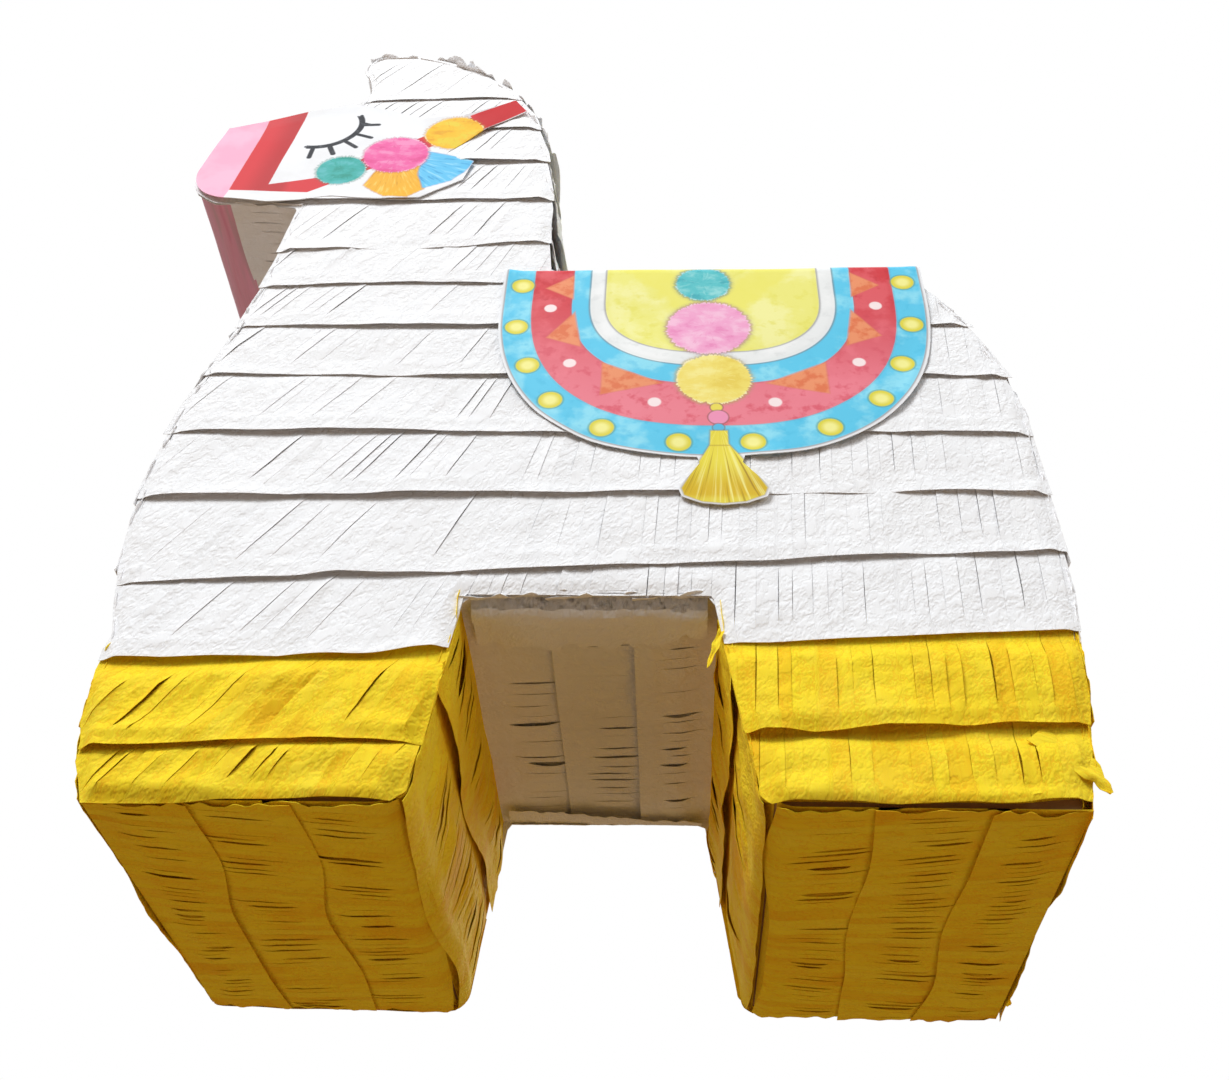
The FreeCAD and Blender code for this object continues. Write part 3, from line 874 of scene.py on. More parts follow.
def fold_under(paper, side, rng):
    """The lowest white row turned under the belly between the legs."""
    x0, x1 = CORNERS["front_crotch"][0] + 1.5, CORNERS["hind_crotch"][0] - 1.5
    seed = int(rng.integers(1 << 30))
    deepest = 21.0 if side < 0 else 11.0
    for deep, lift in ((deepest, 4.3), (deepest * 0.45, 5.2)):
        u, v, high, tag, faces = plain_strip(x0, x1, deep, 0.0, 1.2)
        across = (u - x0) / (x1 - x0)
        reach = deep * (1.05 - 0.35 * across + 0.22 * noise(u / 17, 0 * u, seed)
                        + 0.09 * noise(u / 2.5, 0 * u, seed + 1))
        v = v / deep * reach
        high = lift + 0.9 * v / deep * (0.6 + noise(u / 12, v / 15, seed + 2))
        high = high + 0.9 * crumple(u, v, 9, seed + 4)
        y = side * (CORE_HALF + 0.9 - v)
        z = BELLY + SKIN - np.minimum(high, 1.2 + v * 0.9)
        paper.lay(lambda h: (u, y, z - h), faces, (u, v, tag))


def crepe_rows(word, side):
    """All the rows of one side panel."""
    s = crepe()
    tops = WHITE_LEFT[1:] + [TOP - TUCK], WHITE_RIGHT[1:] + [TOP - TUCK]
    for i, (left, right) in enumerate(zip(WHITE_LEFT, WHITE_RIGHT)):
        name = "%s_row_%02d" % (word, i + 1)
        rng = dice(name)
        drop = max(tops[0][i] - left, tops[1][i] - right) + TUCK
        lively = 1.3 if i == 0 else 0.8
        cut = Cut(s.ribbon, s.band, s.lift, slant_at,
                  open_at=lambda x, k=lively: k * (0.6 + 0.6 * float(ease(x, -80, 90))),
                  rise=0.4, gap=0.11, fold=0.45, fold_size=9.0, wave=0.45, soft=0.6,
                  hem=0.3, tilt=0.5)
        paper, build = side_row(name, side, edge_line(left, right, rng), drop, cut,
                                white_crepe(), "white_crepe")
        if i == 0:
            fold_under(paper, side, rng)
        build()
    tops = YELLOW_LEFT[1:] + WHITE_LEFT[:1], YELLOW_RIGHT[1:] + WHITE_RIGHT[:1]
    for i, (left, right) in enumerate(zip(YELLOW_LEFT, YELLOW_RIGHT)):
        name = "%s_yellow_row_%d" % (word, i + 1)
        rng = dice(name)
        drop = max(tops[0][i] - left, tops[1][i] - right) + TUCK
        cut = Cut(s.ribbon * 0.95, s.band * 0.8, s.lift * 1.5, slant_at, rise=0.8, gap=0.14,
                  fold=1.6, fold_size=8.0, wave=0.7, curl=0.9, soft=1.6, hem=0.7, tilt=1.3,
                  held=TUCK + 3.0)
        paper, build = side_row(name, side, edge_line(left, right, rng), drop, cut,
                                yellow_crepe(), "yellow_crepe")
        if i == 0:
            face, (toe, _) = side * (CORE_HALF + 1.5), CORNERS["heel"]
            loose_end(paper, [(toe - 9, face, 24), (toe - 2, face + side * 0.8, 17),
                              (toe + 3.5, face + side * 1.0, 11),
                              (toe + 6.0, face, 6.5)], 8.0, rng)
        build()


def loose_end(paper, places, wide, rng):
    """The torn end of a strip, hanging along a few places in mm and tapering off."""
    line = np.array(places, float)
    t = np.linspace(0, len(line) - 1, 16)
    mid = np.stack([np.interp(t, range(len(line)), line[:, i]) for i in range(3)], 1)
    way = np.gradient(mid, axis=0)
    way /= np.linalg.norm(way, axis=1)[:, None]
    flat = np.cross(way, (0.25, -1.0, 0.15))
    flat /= np.linalg.norm(flat, axis=1)[:, None]
    out = np.cross(flat, way)
    seed = int(rng.integers(1 << 30))
    tear = 1 + 0.35 * noise(t * 2.3, 0 * t, seed + 1)
    half = wide / 2 * tear * np.interp(t / t[-1], [0, 0.3, 0.75, 1], [1, 1, 0.7, 0.15])
    u = np.linspace(-1, 1, 7)[:, None]
    bend = 0.7 * noise(t[None] * 1.9, u * 2, seed)
    sides = [(mid[None] + flat[None] * (u * half)[..., None]
              + out[None] * (bend + k * THICK / 2)[..., None]).reshape(-1, 3)
             for k in (1, -1)]
    ids = np.arange(u.size * len(t)).reshape(u.size, len(t))
    strip = np.stack([u * half, 0 * u + t * 4, 0 * u * t], -1).reshape(-1, 3)
    paper.add(sides[0], sides[1], grid_faces(ids), strip)


# ---- strips across the walls -------------------------------------------------------
def polygon(y0, y1, s0, s1):
    return np.array([(y0, s0), (y0, s1), (y1, s1), (y1, s0)], float)


def wall_sheet(paper, data, line, start, top=None, keep=None, holes=()):
    """Lays one flat sheet of a wall strip along its line."""
    u, v, high, tag, faces = data
    y, s = u.copy(), v + start
    if keep is not None:
        y, s, faces = trim(y, s, faces, keep)
    for hole in holes:
        faces = punch(y, s, faces, hole)
    if not len(faces):
        return
    if top is not None:
        high = top * (1 - np.exp(-high / top * 1.1))

    def surface(h):
        x, z = line.at(s, high + h - SKIN)
        return x, y, z

    paper.lay(surface, faces, (u, v, tag))


def wall_fringe(paper, line, start, end, rows, cut, rng, tuck=True, pressed=False,
                keep=None, holes=()):
    """Overlapping strips along a wall, each free edge over the next strip."""
    pitch = (end - start) / rows
    half = CORE_HALF + 1.1
    for i in range(rows):
        lead = TUCK if (i or tuck) else 0.0
        begin = start + i * pitch - lead
        drop = start + (i + 1) * pitch - begin
        top = SKIN - THICK if pressed else None
        wall_sheet(paper, plain_strip(-half, half, drop - 1.0, 0.16), line, begin, top,
                   keep, holes)
        data = slit_strip(-half, half, drop, cut, rng)
        u = data[0]
        tear = noise(data[1] / 3.0, 0 * u, int(rng.integers(1 << 30)))
        data[0] = u + np.sign(u) * ease(np.abs(u), half - 4, half) * tear * cut.tear
        wall_sheet(paper, data, line, begin, top, keep, holes)


def wall_cut(lively=1.0, **more):
    s = crepe()
    values = dict(rise=1.1 * lively, gap=0.35 * lively, fold=0.45, wave=0.6, soft=0.7,
                  hem=0.3, dashes=0.35)
    values.update(more)
    return Cut(values.pop("ribbon", s.ribbon), s.band, values.pop("lift", s.lift), **values)


CORNER = 0.4 - SKIN           # a strip in a hollow corner starts on the card itself
GROUND_CLEAR = 1.6            # keeps the wandering hem over the heel off the ground
SOLE_OVER = 0.8               # the sole's strips reach this far past its two edges
PITCH = 29.0                  # usual distance between two rows


def build_walls():
    """Every wall strip piece, named after the piece that it stands for."""
    chest = route("front_toe", "throat", backwards=True)
    low = chest.where_height(WHITE_LEFT[0] + 2)

    def piece(name, work, material, slot, body=SHELL):
        rng, paper = dice(name), Paper()
        work(paper, rng)
        paper.build(name, material, body, [name], slot)

    def whites(name, line, start, end, rows, cut=None, **more):
        piece(name, lambda paper, rng: wall_fringe(
            paper, line, start, end, rows, cut or wall_cut(), rng, **more),
            white_crepe(), "white_crepe")

    whites("chest_fringe", chest, CORNER, low, round((low - CORNER) / PITCH), tuck=False)
    shaggy = wall_cut(1.4, lift=3.4, wave=1.2, curl=1.4, soft=1.2, tear=3.2)
    yellow = wall_cut(1.3, fold=1.0, wander=2.5, fold_size=8.0, wave=0.9, curl=0.9, soft=1.0,
                      slant=lambda y: math.radians(20) * math.sin(y / 17.0))
    sole = wall_cut(1.4, ribbon=2.9, fold=1.0, lift=1.0, dashes=0.55, soft=1.2, wander=3.0,
                    slant=lambda y: math.radians(9) * math.sin(y / 23.0))

    def leg(paper, rng, under, inner):
        wall_fringe(paper, under, -SOLE_OVER, under.length + SOLE_OVER, 3, sole, rng,
                    pressed=True, tuck=False)
        wall_fringe(paper, inner, CORNER, inner.length, 2, yellow, rng, tuck=False)

    def front_leg(paper, rng):
        wall_fringe(paper, chest, low, chest.length, 2, yellow, rng)
        leg(paper, rng, route("front_heel", "front_toe", backwards=True),
            route("front_crotch", "front_heel"))
    piece("front_leg_fringe", front_leg, yellow_crepe(), "yellow_crepe")

    rump = route("tail_top", "heel")
    rump_low = rump.where_height(WHITE_RIGHT[0] - 5)
    door_low, door_high = box_mm("fill_flap")
    top_s, bottom_s = rump.where_height(door_high[2] + 3.3), rump.where_height(door_low[2])
    half = door_high[1]
    hole = polygon(-half - 0.6, half + 0.6, top_s, bottom_s + 0.7)
    flap = polygon(-half, half, rump.where_height(door_high[2] - 4), bottom_s - 0.2)
    rows = round(rump_low / PITCH)
    whites("rump_fringe", rump, 0.0, rump_low, rows, tuck=False, holes=[hole])
    piece("flap_fringe", lambda paper, rng: wall_fringe(
        paper, rump, 0.0, rump_low, rows, wall_cut(), rng, tuck=False, keep=flap),
        white_crepe(), "white_crepe", FLAP)

    def hind_leg(paper, rng):
        wall_fringe(paper, rump, rump_low, rump.length - GROUND_CLEAR, 2, yellow, rng)
        leg(paper, rng, route("heel", "hind_toe"),
            route("hind_toe", "hind_crotch", backwards=True))
        x, face = CORNERS["hind_crotch"][0], -CORE_HALF
        loose_end(paper, [(x + 2, face - 1.6, BELLY - 13), (x, face - 2.8, BELLY - 20),
                          (x - 2.0, face - 3.2, BELLY - 27)], 2.0, rng)
    piece("hind_leg_fringe", hind_leg, yellow_crepe(), "yellow_crepe")

    belly = route("hind_crotch", "front_crotch")
    whites("belly_fringe", belly, CORNER, belly.length - CORNER, 3, tuck=False)
    jaw = route("throat", "muzzle_top")
    wrap_edge = box_mm("muzzle_wrap")[1][0]
    jaw_end = float(np.interp(-wrap_edge, -jaw.p[:60, 0], jaw.s[:60]))
    whites("jaw_fringe", jaw, CORNER, jaw_end + 1, 1, tuck=False)
    nape = route("crown", "neck_base")
    whites("nape_fringe", nape, SKIN, nape.length - CORNER,
           round((nape.length - CORNER) / PITCH), cut=shaggy, tuck=False)
    ear = route("notch", "crown", backwards=True)
    whites("ear_fringe", ear, 0.0, ear.length - CORNER, 3, tuck=False)
    brow = route("muzzle_top", "notch", backwards=True)
    whites("brow_fringe", brow, CORNER, brow.length, 2, tuck=False)
    back = route("neck_base", "tail_top")
    whites("back_fringe", back, CORNER, back.length, 4, tuck=False, pressed=True,
           holes=rope_holes(lambda x: (0.0, x - CORNERS["neck_base"][0])),
           cut=wall_cut(0.5, fold=0.2, soft=0.2, hem=0.1, wave=0.2, lift=0.6))


def build_crease():
    """A paper hinge over the flap's crease, glued to the card above and below it."""
    rump = route("tail_top", "heel")
    low, high = box_mm("fill_flap")
    top, bottom = rump.where_height(high[2] + 5), rump.where_height(high[2] - 6)
    rng, paper = dice("flap_crease"), Paper()
    seed = int(rng.integers(1 << 30))
    u, v, deep, tag, faces = plain_strip(low[1] + 0.5, high[1] - 0.5, bottom - top, 0.0, 1.0)
    middle = 1 - np.abs(v / (bottom - top) * 2 - 1)
    deep = 0.30 + 0.12 * noise(u / 6, v / 3, seed) + 0.25 * ease(middle, 0.3, 1.0)
    wall_sheet(paper, [u, v, deep, tag, faces], rump, top)
    piece = paper.build("flap_crease", white_crepe(), None, [], "white_crepe")
    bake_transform(piece)


# ---- pink paper round the muzzle -----------------------------------------------------
def pink_finish():
    base = crepe().pink
    f = Finish("pink_paper", base, 0.75, sheen=0.1)
    u, v, tag = f.place("strip")
    streak = f.noise(f.vector(u * 0.02, v * 0.22))
    fine = f.noise(f.vector(u * 0.09, v * 1.4))
    # streaks across the paper, grey and deeper pink, are painted shade along its folds
    f.mix(srgb(196, 176, 182), streak.step(0.48, 0.66, 0.5))
    f.mix(srgb(226, 120, 160), streak.step(0.46, 0.32, 0.45))
    # painted shade along the fine ridges
    f.mix(toned(base, 0.8), fine.step(0.45, 0.75, 0.35))
    f.bump(fine, 0.3, 0.2)
    return f.done()


def build_wrap():
    line = route("throat", "muzzle_top")
    start = float(np.interp(-box_mm("muzzle_wrap")[1][0], -line.p[:60, 0], line.s[:60]))
    end = line.length
    rng, paper = dice("muzzle_wrap"), Paper()
    seed = int(rng.integers(1 << 30))
    half = CORE_HALF + 0.7
    u, v, high, tag, faces = plain_strip(-half, half, end - start, 0.0, 1.3)
    high = 1.5 + 0.35 * noise(u / 40, v / 7, seed) + 0.5 * crumple(u * 0.25, v, 7, seed + 3)
    high = high + 0.25 * crumple(u, v, 12, seed + 7)
    data = [u, v, high, tag, faces]
    wall_sheet(paper, data, line, start)
    paper.build("muzzle_wrap", pink_finish(), SHELL, ["muzzle_wrap"], "pink_paper")


# ---- printed pieces ------------------------------------------------------------------
def half_planes(x, z, corners):
    """Distance outside a convex shape with clockwise or anticlockwise corners."""
    area = sum(ax * bz - bx * az for (ax, az), (bx, bz)
               in zip(corners, corners[1:] + corners[:1]))
    turn = 1.0 if area > 0 else -1.0
    far = None
    for (ax, az), (bx, bz) in zip(corners, corners[1:] + corners[:1]):
        size = math.hypot(bx - ax, bz - az)
        nx, nz = turn * (bz - az) / size, -turn * (bx - ax) / size
        edge = x * nx + z * nz - (ax * nx + az * nz)
        far = edge if far is None else far.high(edge)
    return far


def segment(x, z, a, b):
    """Distance from a short straight stroke."""
    dx, dz = b[0] - a[0], b[1] - a[1]
    t = ((x - a[0]) * dx + (z - a[1]) * dz).op("DIVIDE", dx * dx + dz * dz, clamp=True)
    return hypot(x - a[0] - t * dx, z - a[1] - t * dz)


def disc(x, z, cx, cz, r):
    return hypot(x - cx, z - cz) - r


def fill(distance, soft=0.25):
    return distance.step(soft, -soft)


def print_finish(name):
    """A coated printed sheet, white until it is painted."""
    f = Finish(name, srgb(238, 239, 242), 0.5)
    f.shader.inputs["Specular IOR Level"].default_value = 0.15
    return f


def pom(f, x, z, cx, cz, r, base, dark, pale, seed):
    """A painted pom-pom: a ticked edge, a soft wash and short strokes from its middle."""
    around = (x - cx).op("ARCTAN2", z - cz)
    out = hypot(x - cx, z - cz)
    tick = f.noise(f.vector(around * 15.0, out * 0.05, seed), detail=1.0)
    hair = f.noise(f.vector(around * 6.0, out * 0.25, seed + 3.0), detail=4.0)
    wash = f.noise(f.vector(x * 0.09, z * 0.14, seed + 7.0), detail=4.0)
    edge = out - r - (tick - 0.5) * 2.6
    body = fill(edge, 0.25)
    f.mix(toned(dark, 0.6), fill(edge - 0.8, 0.6) * 0.45)
    f.mix(base, body)
    f.mix(pale, body * wash.step(0.47, 0.62, 0.8))
    f.mix(dark, body * wash.step(0.47, 0.34, 0.7))
    f.mix(pale, body * hair.step(0.55, 0.7, 0.5))
    f.mix(dark, body * hair.step(0.42, 0.28, 0.5))
    f.mix(srgb(250, 246, 240), body * (edge + 0.9).step(0.0, 0.8, 0.55)
          * tick.step(0.45, 0.6))


def face_finish():
    s = prints()
    f = print_finish("face_print")
    x, y, z = f.place()
    wash = f.noise(f.vector(x * 0.05, z * 0.05))
    grain = f.noise(f.vector(x, z), 0.9, 2.0)
    f.mix(srgb(228, 228, 230), wash.step(0.45, 0.7, 0.6))
    slope = 0.095
    band = x - z * slope
    left, right = -138.9 - 282.8 * slope, -123.5 - 286.0 * slope
    pink = crepe().pink
    f.mix(pink, fill(band - left))
    f.mix(srgb(248, 192, 216), fill(band - left) * wash.step(0.4, 0.6, 0.7))
    tear = (f.noise(f.vector(x * 0.4, z * 0.4, 5.0), detail=2.0) - 0.5) * 0.9
    nose = (left - band).high(band - right).high(282.6 - z + (x + 139) * -0.06)
    cheek = half_planes(x, z, [(-139, 282.7), (-125, 281.6), (-106.7, 279.8), (-98, 286),
                               (-100, 298), (-105, 295.6), (-123.7, 286.3)])
    strap = segment(x, z, (-98, 291), (-37, 337)) - 4.6
    end = half_planes(x, z, [(-39.5, 326.7), (-22, 342), (-28.3, 352.6), (-46.5, 337.5)])
    dark_line = half_planes(x, z, [(-41, 324.7), (-20, 342), (-28.6, 355), (-49, 338)])
    f.mix(srgb(120, 50, 40), fill(dark_line - 0.2) * (1.0 - fill(end)) * 0.25)
    red = fill(nose.low(cheek).low(strap).low(end) + tear * 0.2)
    f.mix(s.red, red)
    f.mix(srgb(178, 30, 34), red * (band - right).step(-12.0, -2.0, 0.7)
          * fill(x + 116, 2.0))
    f.mix(srgb(190, 32, 36), red * fill(-44 - x, 3.0) * 0.7)
    for seed, base, dark, pale, shape in (
            (-7.1, srgb(240, 178, 40), srgb(200, 128, 14), srgb(252, 214, 110),
             [(-79.6, 298), (-62.3, 299), (-59, 281), (-65, 275.2), (-74.4, 275.8),
              (-84, 284.5)]),
            (-5.2, srgb(98, 194, 238), srgb(44, 142, 205), srgb(160, 222, 248),
             [(-61.5, 310), (-46, 304.6), (-41.3, 301.8), (-43.3, 295), (-49, 287.2),
              (-59.4, 282), (-63, 294)])):
        body = half_planes(x, z, shape)
        around = (x + 74.2).op("ARCTAN2", z - 307.6)
        out = hypot(x + 74.2, z - 307.6)
        hair = f.noise(f.vector(around * 16.0, out * 0.1, seed))
        body = body + (hair - 0.5) * 1.2
        f.mix(dark, fill(body - 0.5, 0.4) * 0.6)
        f.mix(base, fill(body))
        f.mix(pale, fill(body) * hair.step(0.52, 0.68, 0.7))
        f.mix(dark, fill(body) * hair.step(0.45, 0.32, 0.65))
    pom(f, x, z, -95.3, 295.9, 10.2, s.teal, srgb(26, 142, 124), srgb(92, 186, 190), 1.0)
    pom(f, x, z, -51.7, 324.4, 12.4, s.gold, srgb(226, 152, 22), srgb(232, 208, 60), 2.0)
    pom(f, x, z, -74.2, 307.6, 13.6, s.rose, srgb(220, 66, 136), srgb(240, 152, 196), 4.0)
    black = (abs(disc(x, z, -110.5, 332, 17.6)) - 1.35).high(-113.5 - x).high(z - 340)
    for a, b, wide in (((-110.4, 314), (-110.6, 306), 1.05), ((-103.6, 315), (-101, 308.6), 1.15),
                       ((-97.4, 318.5), (-92.2, 313.6), 1.0), ((-93.6, 324.4), (-87, 321.3), 1.0),
                       ((-92.6, 332.2), (-85.6, 332.4), 1.0), ((-92.8, 334), (-89.5, 332.6), 0.9),
                       ((-112, 314.2), (-113.8, 314.8), 0.7), ((-93.9, 338), (-94.2, 340.2), 0.8)):
        black = black.low(segment(x, z, a, b) - wide)
    smoke = f.noise(f.vector(x * 0.35, z * 0.35, 8.0), detail=2.0)
    f.mix(srgb(34, 35, 42), fill(black, 0.3))
    f.mix(srgb(104, 106, 112), fill(black, 0.3) * smoke.step(0.5, 0.75, 0.6))
    f.bump(grain, 0.08, 0.1)
    return f.done()


def saddle_finish():
    s = prints()
    f = print_finish("saddle_print")
    x, y, true_z = f.place()
    low, high = SADDLE_LOOP.min(0), SADDLE_LOOP.max(0)
    z = true_z.low(high[1])
    middle = (low[0] + high[0]) / 2
    wide = (high[0] - low[0]) / 2
    bend = high[1] - 20.0
    reach = abs(x - middle)
    below = (z - bend).low(0.0)
    wash = f.noise(f.vector(x * 0.06, z * 0.06, 3.0), detail=4.0)
    blot = f.noise(f.vector(x * 0.2, z * 0.2, 9.0))

    def bowl(a, b):
        """Distance outside one of the nested round outlines."""
        across = (reach / a).op("POWER", FULLNESS)
        down = (below / -b).op("POWER", FULLNESS)
        return ((across + down).op("POWER", 1 / FULLNESS) - 1.0) * math.sqrt(a * b)

    def band(distance, base, dark, pale, line=0.8):
        """One painted band, with a soft pencil line round it and an uneven wash."""
        f.mix(srgb(120, 116, 118), fill(abs(distance) - 0.3, 0.5) * line)
        inside = fill(distance + 0.2)
        f.mix(base, inside)
        f.mix(pale, inside * wash.step(0.46, 0.6, 0.9))
        f.mix(dark, inside * blot.step(0.52, 0.7, 0.55))
        f.mix(dark, inside * fill(abs(distance + 1.0) - 0.5, 1.2) * 0.3)
        return inside

    drop = bend - HEM
    low_down = z.step(215.0, 145.0)
    band(bowl(wide - 1.2, drop - 1.2), s.blue, srgb(78, 190, 228), srgb(150, 226, 246))
    red = band(bowl(wide - 11.2, drop - 14.5), srgb(212, 62, 70), srgb(196, 44, 54),
               srgb(226, 96, 104), 0.25)
    f.mix(srgb(240, 138, 154), red * low_down * 0.85)
    f.mix(srgb(214, 60, 84), red * low_down * blot.step(0.5, 0.68, 0.6))
    band(bowl(wide - 25.5, drop - 35.0), s.blue, srgb(90, 196, 232), srgb(150, 226, 246), 0.3)
    band(bowl(wide - 32.0, drop - 44.5), srgb(236, 238, 238), srgb(218, 220, 220),
         srgb(244, 245, 245))
    ground = band(bowl(wide - 37.5, drop - 51.5), srgb(238, 234, 128), srgb(228, 222, 84),
                  srgb(245, 242, 164))
    streak = z * 0.8 - reach + (blot - 0.5) * 9.0
    f.mix(s.yellow, ground * (abs(streak - 156.0) - 7.0).step(3.0, -2.0, 0.9))
    for cx, cz, r in ((52, 215.5, 9.6), (53.5, 190, 14.4), (55, 162.5, 12.2)):
        f.mix(srgb(150, 146, 130), fill(disc(x, z, cx, cz, r + 0.8), 2.0) * 0.5)
    for corners in ([(50, 221), (59.5, 213.5), (49.5, 207)],
                    [(48.5, 199), (57.5, 185), (45.5, 180)],
                    [(37.5, 171), (37.5, 155), (17.5, 160.5)]):
        body = half_planes(reach, z, corners)
        f.mix(srgb(206, 104, 80), fill(abs(body) - 0.2, 0.5) * 0.6)
        f.mix(srgb(238, 150, 106), fill(body, 0.6))
        f.mix(srgb(224, 112, 70), fill(body, 0.6) * blot.step(0.45, 0.62, 0.8))
    for cx, cz in ((68.2, 215), (68.6, 191), (63.0, 170), (54.0, 152), (36.5, 138.5),
                   (11.8, 131.8)):
        far = disc(reach, z, cx, cz, 4.0)
        f.mix(srgb(90, 150, 120), fill(far - 0.6, 0.4) * 0.6)
        f.mix(srgb(226, 214, 70), fill(far))
        f.mix(srgb(250, 246, 160), fill(far + 1.6, 1.2) * 0.85)
    for cx, cz in ((57.3, 201.5), (48.7, 171), (19.7, 151)):
        f.mix(srgb(250, 232, 232), fill(disc(reach, z, cx, cz, 2.2), 0.35))
    pom(f, x, z, 52, 215.5, 9.7, srgb(92, 196, 202), srgb(56, 162, 176),
        srgb(160, 224, 224), 11.0)
    pom(f, x, z, 53.5, 190, 14.4, srgb(242, 166, 206), srgb(230, 128, 182),
        srgb(248, 200, 224), 12.0)
    pom(f, x, z, 55, 162.5, 12.4, srgb(242, 222, 110), srgb(232, 204, 80),
        srgb(248, 236, 150), 13.0)
    for cx, cz, r, base in ((55.5, 148.2, 1.9, srgb(236, 220, 90)),
                            (56, 143.5, 3.2, srgb(240, 150, 186)),
                            (56, 138.6, 1.8, srgb(90, 190, 230))):
        f.mix(srgb(120, 90, 80), fill(disc(x, z, cx, cz, r + 0.4), 0.3) * 0.7)
        f.mix(base, fill(disc(x, z, cx, cz, r), 0.3))
    cap = half_planes(x, z, [(53.4, 137.2), (58.8, 137.2), (59.0, 129.5), (53.0, 129.5)])
    skirt = half_planes(x, z, [(53.4, 131.5), (58.8, 131.5), (70.2, 111.0), (69.2, 108.2),
                               (63.5, 105.6), (57, 104.9), (50.5, 105.6), (45, 108.2),
                               (44.2, 111.0)]).low(cap)
    hair = f.noise(f.vector((x - 56.2).op("ARCTAN2", 140.0 - z) * 22.0, z * 0.02, 2.0),
                   1.0, 3.0)
    thread = fill(skirt)
    f.mix(srgb(130, 110, 60), fill(skirt - 0.4, 0.5) * 0.6)
    f.mix(srgb(236, 220, 70), thread)
    f.mix(srgb(214, 172, 20), thread * z.step(124.0, 110.0, 0.8))
    f.mix(srgb(236, 222, 80), thread * z.step(109.0, 106.0, 0.7))
    f.mix(srgb(250, 244, 150), thread * hair.step(0.53, 0.66, 0.8))
    f.mix(srgb(164, 126, 16), thread * hair.step(0.45, 0.33, 0.8)
          * z.step(134.0, 120.0, lo=0.2))
    f.mix(srgb(190, 160, 50), fill(abs(z - 130.4) - 0.3) * thread * 0.6)
    f.bump(wash, 0.05, 0.3)
    return f.done()


def build_face_prints():
    """The printed cheeks, one on each side, each glued over the crepe."""
    material = face_finish()
    for word, side in (("front", -1), ("back", 1)):
        name = "face_print_" + word
        rng, paper = dice(name), Paper()
        seed = int(rng.integers(1 << 30))
        (x0, z0), (x1, z1) = PRINT_LOOP.min(0), PRINT_LOOP.max(0)
        u, v, high, tag, faces = plain_strip(x0 - 1, x1 + 1, z1 - z0 + 2, 0.0, 1.3)
        x, z, faces = trim(u, z1 + 1 - v, faces, PRINT_LOOP)
        _, _, far = nearest(x, z, PRINT_LOOP)
        high = UNDER_PRINT + 0.75 + 0.3 * noise(x / 22, z / 16, seed)
        high = high + 0.25 * crumple(x, z, 24, seed + 1)
        high = high + 0.5 * (1 - ease(far, 0, 6)) * (0.5 + noise(x / 15, z / 15, seed + 4))
        paper.lay(lambda h: (x, side * (CORE_HALF + high + h), z), faces, (x, z, tag),
                  prints().card)
        paper.build(name, material, SHELL, [name], "face_print")


def saddle_route():
    """The line over the back that the saddle sheet follows, from hem to hem."""
    low, high = box_mm("saddle")
    y = CORE_HALF + UNDER_PRINT + 0.9
    top = high[2] - 0.3
    bend = 3.0
    arc = [(-y + bend - bend * math.cos(a), top - bend + bend * math.sin(a))
           for a in np.linspace(0, math.pi / 2, 7)]
    line = [(-y, low[2] - 5)] + arc
    line = line + [(-p, q) for p, q in line[::-1]]
    return Route([np.array(p) for p in line])


def build_saddle():
    """The printed saddle: one sheet folded over the back and cut to a bowl each side."""
    line = saddle_route()
    rng, paper = dice("saddle"), Paper()
    seed = int(rng.integers(1 << 30))
    fold = SADDLE_LOOP[:, 1].max()
    low = box_mm("saddle")[0][2]
    hanging = SADDLE_LOOP[:, 1] < fold - 4
    first = int(np.nonzero(hanging & ~np.roll(hanging, 1))[0][0])
    hem = [p for p in np.roll(SADDLE_LOOP, -first, 0) if p[1] < fold - 4]
    if hem[0][0] > hem[-1][0]:
        hem = hem[::-1]
    left = [p for p in hem if p[0] < TASSEL[0][0] - 1 and p[1] > HEM]
    right = [p for p in hem if p[0] > TASSEL[-1][0] + 1 and p[1] > HEM]
    hem = left + [np.array((x, HEM + z)) for x, z in TASSEL] + right
    front = [(x, z - low + 5) for x, z in hem]
    loop = np.array(front + [(x, line.length - s) for x, s in front[::-1]])
    s0, s1 = loop[:, 1].min(), loop[:, 1].max()
    x0, x1 = loop[:, 0].min(), loop[:, 0].max()
    u, v, high, tag, faces = plain_strip(x0 - 1, x1 + 1, s1 - s0 + 2, 0.0, 1.5)
    x, s, faces = trim(u, v + s0 - 1, faces, loop)
    _, _, far = nearest(x, s, loop)
    high = 0.35 * noise(x / 26, s / 24, seed) + 0.2 * crumple(x, s, 30, seed + 1)
    high = high + 0.6 * (1 - ease(far, 0, 7)) * (0.5 + noise(x / 17, s / 17, seed + 4))
    for hole in rope_holes(lambda along: (along, line.length / 2)):
        faces = punch(x, s, faces, hole)
    paper.lay(lambda h: (x, *line.at(s, high + h)), faces, (x, s, tag), prints().card)
    piece = paper.build("saddle", saddle_finish(), SHELL, ["saddle"], "saddle_print")
    area = abs(loop_area(loop)) * MM * MM


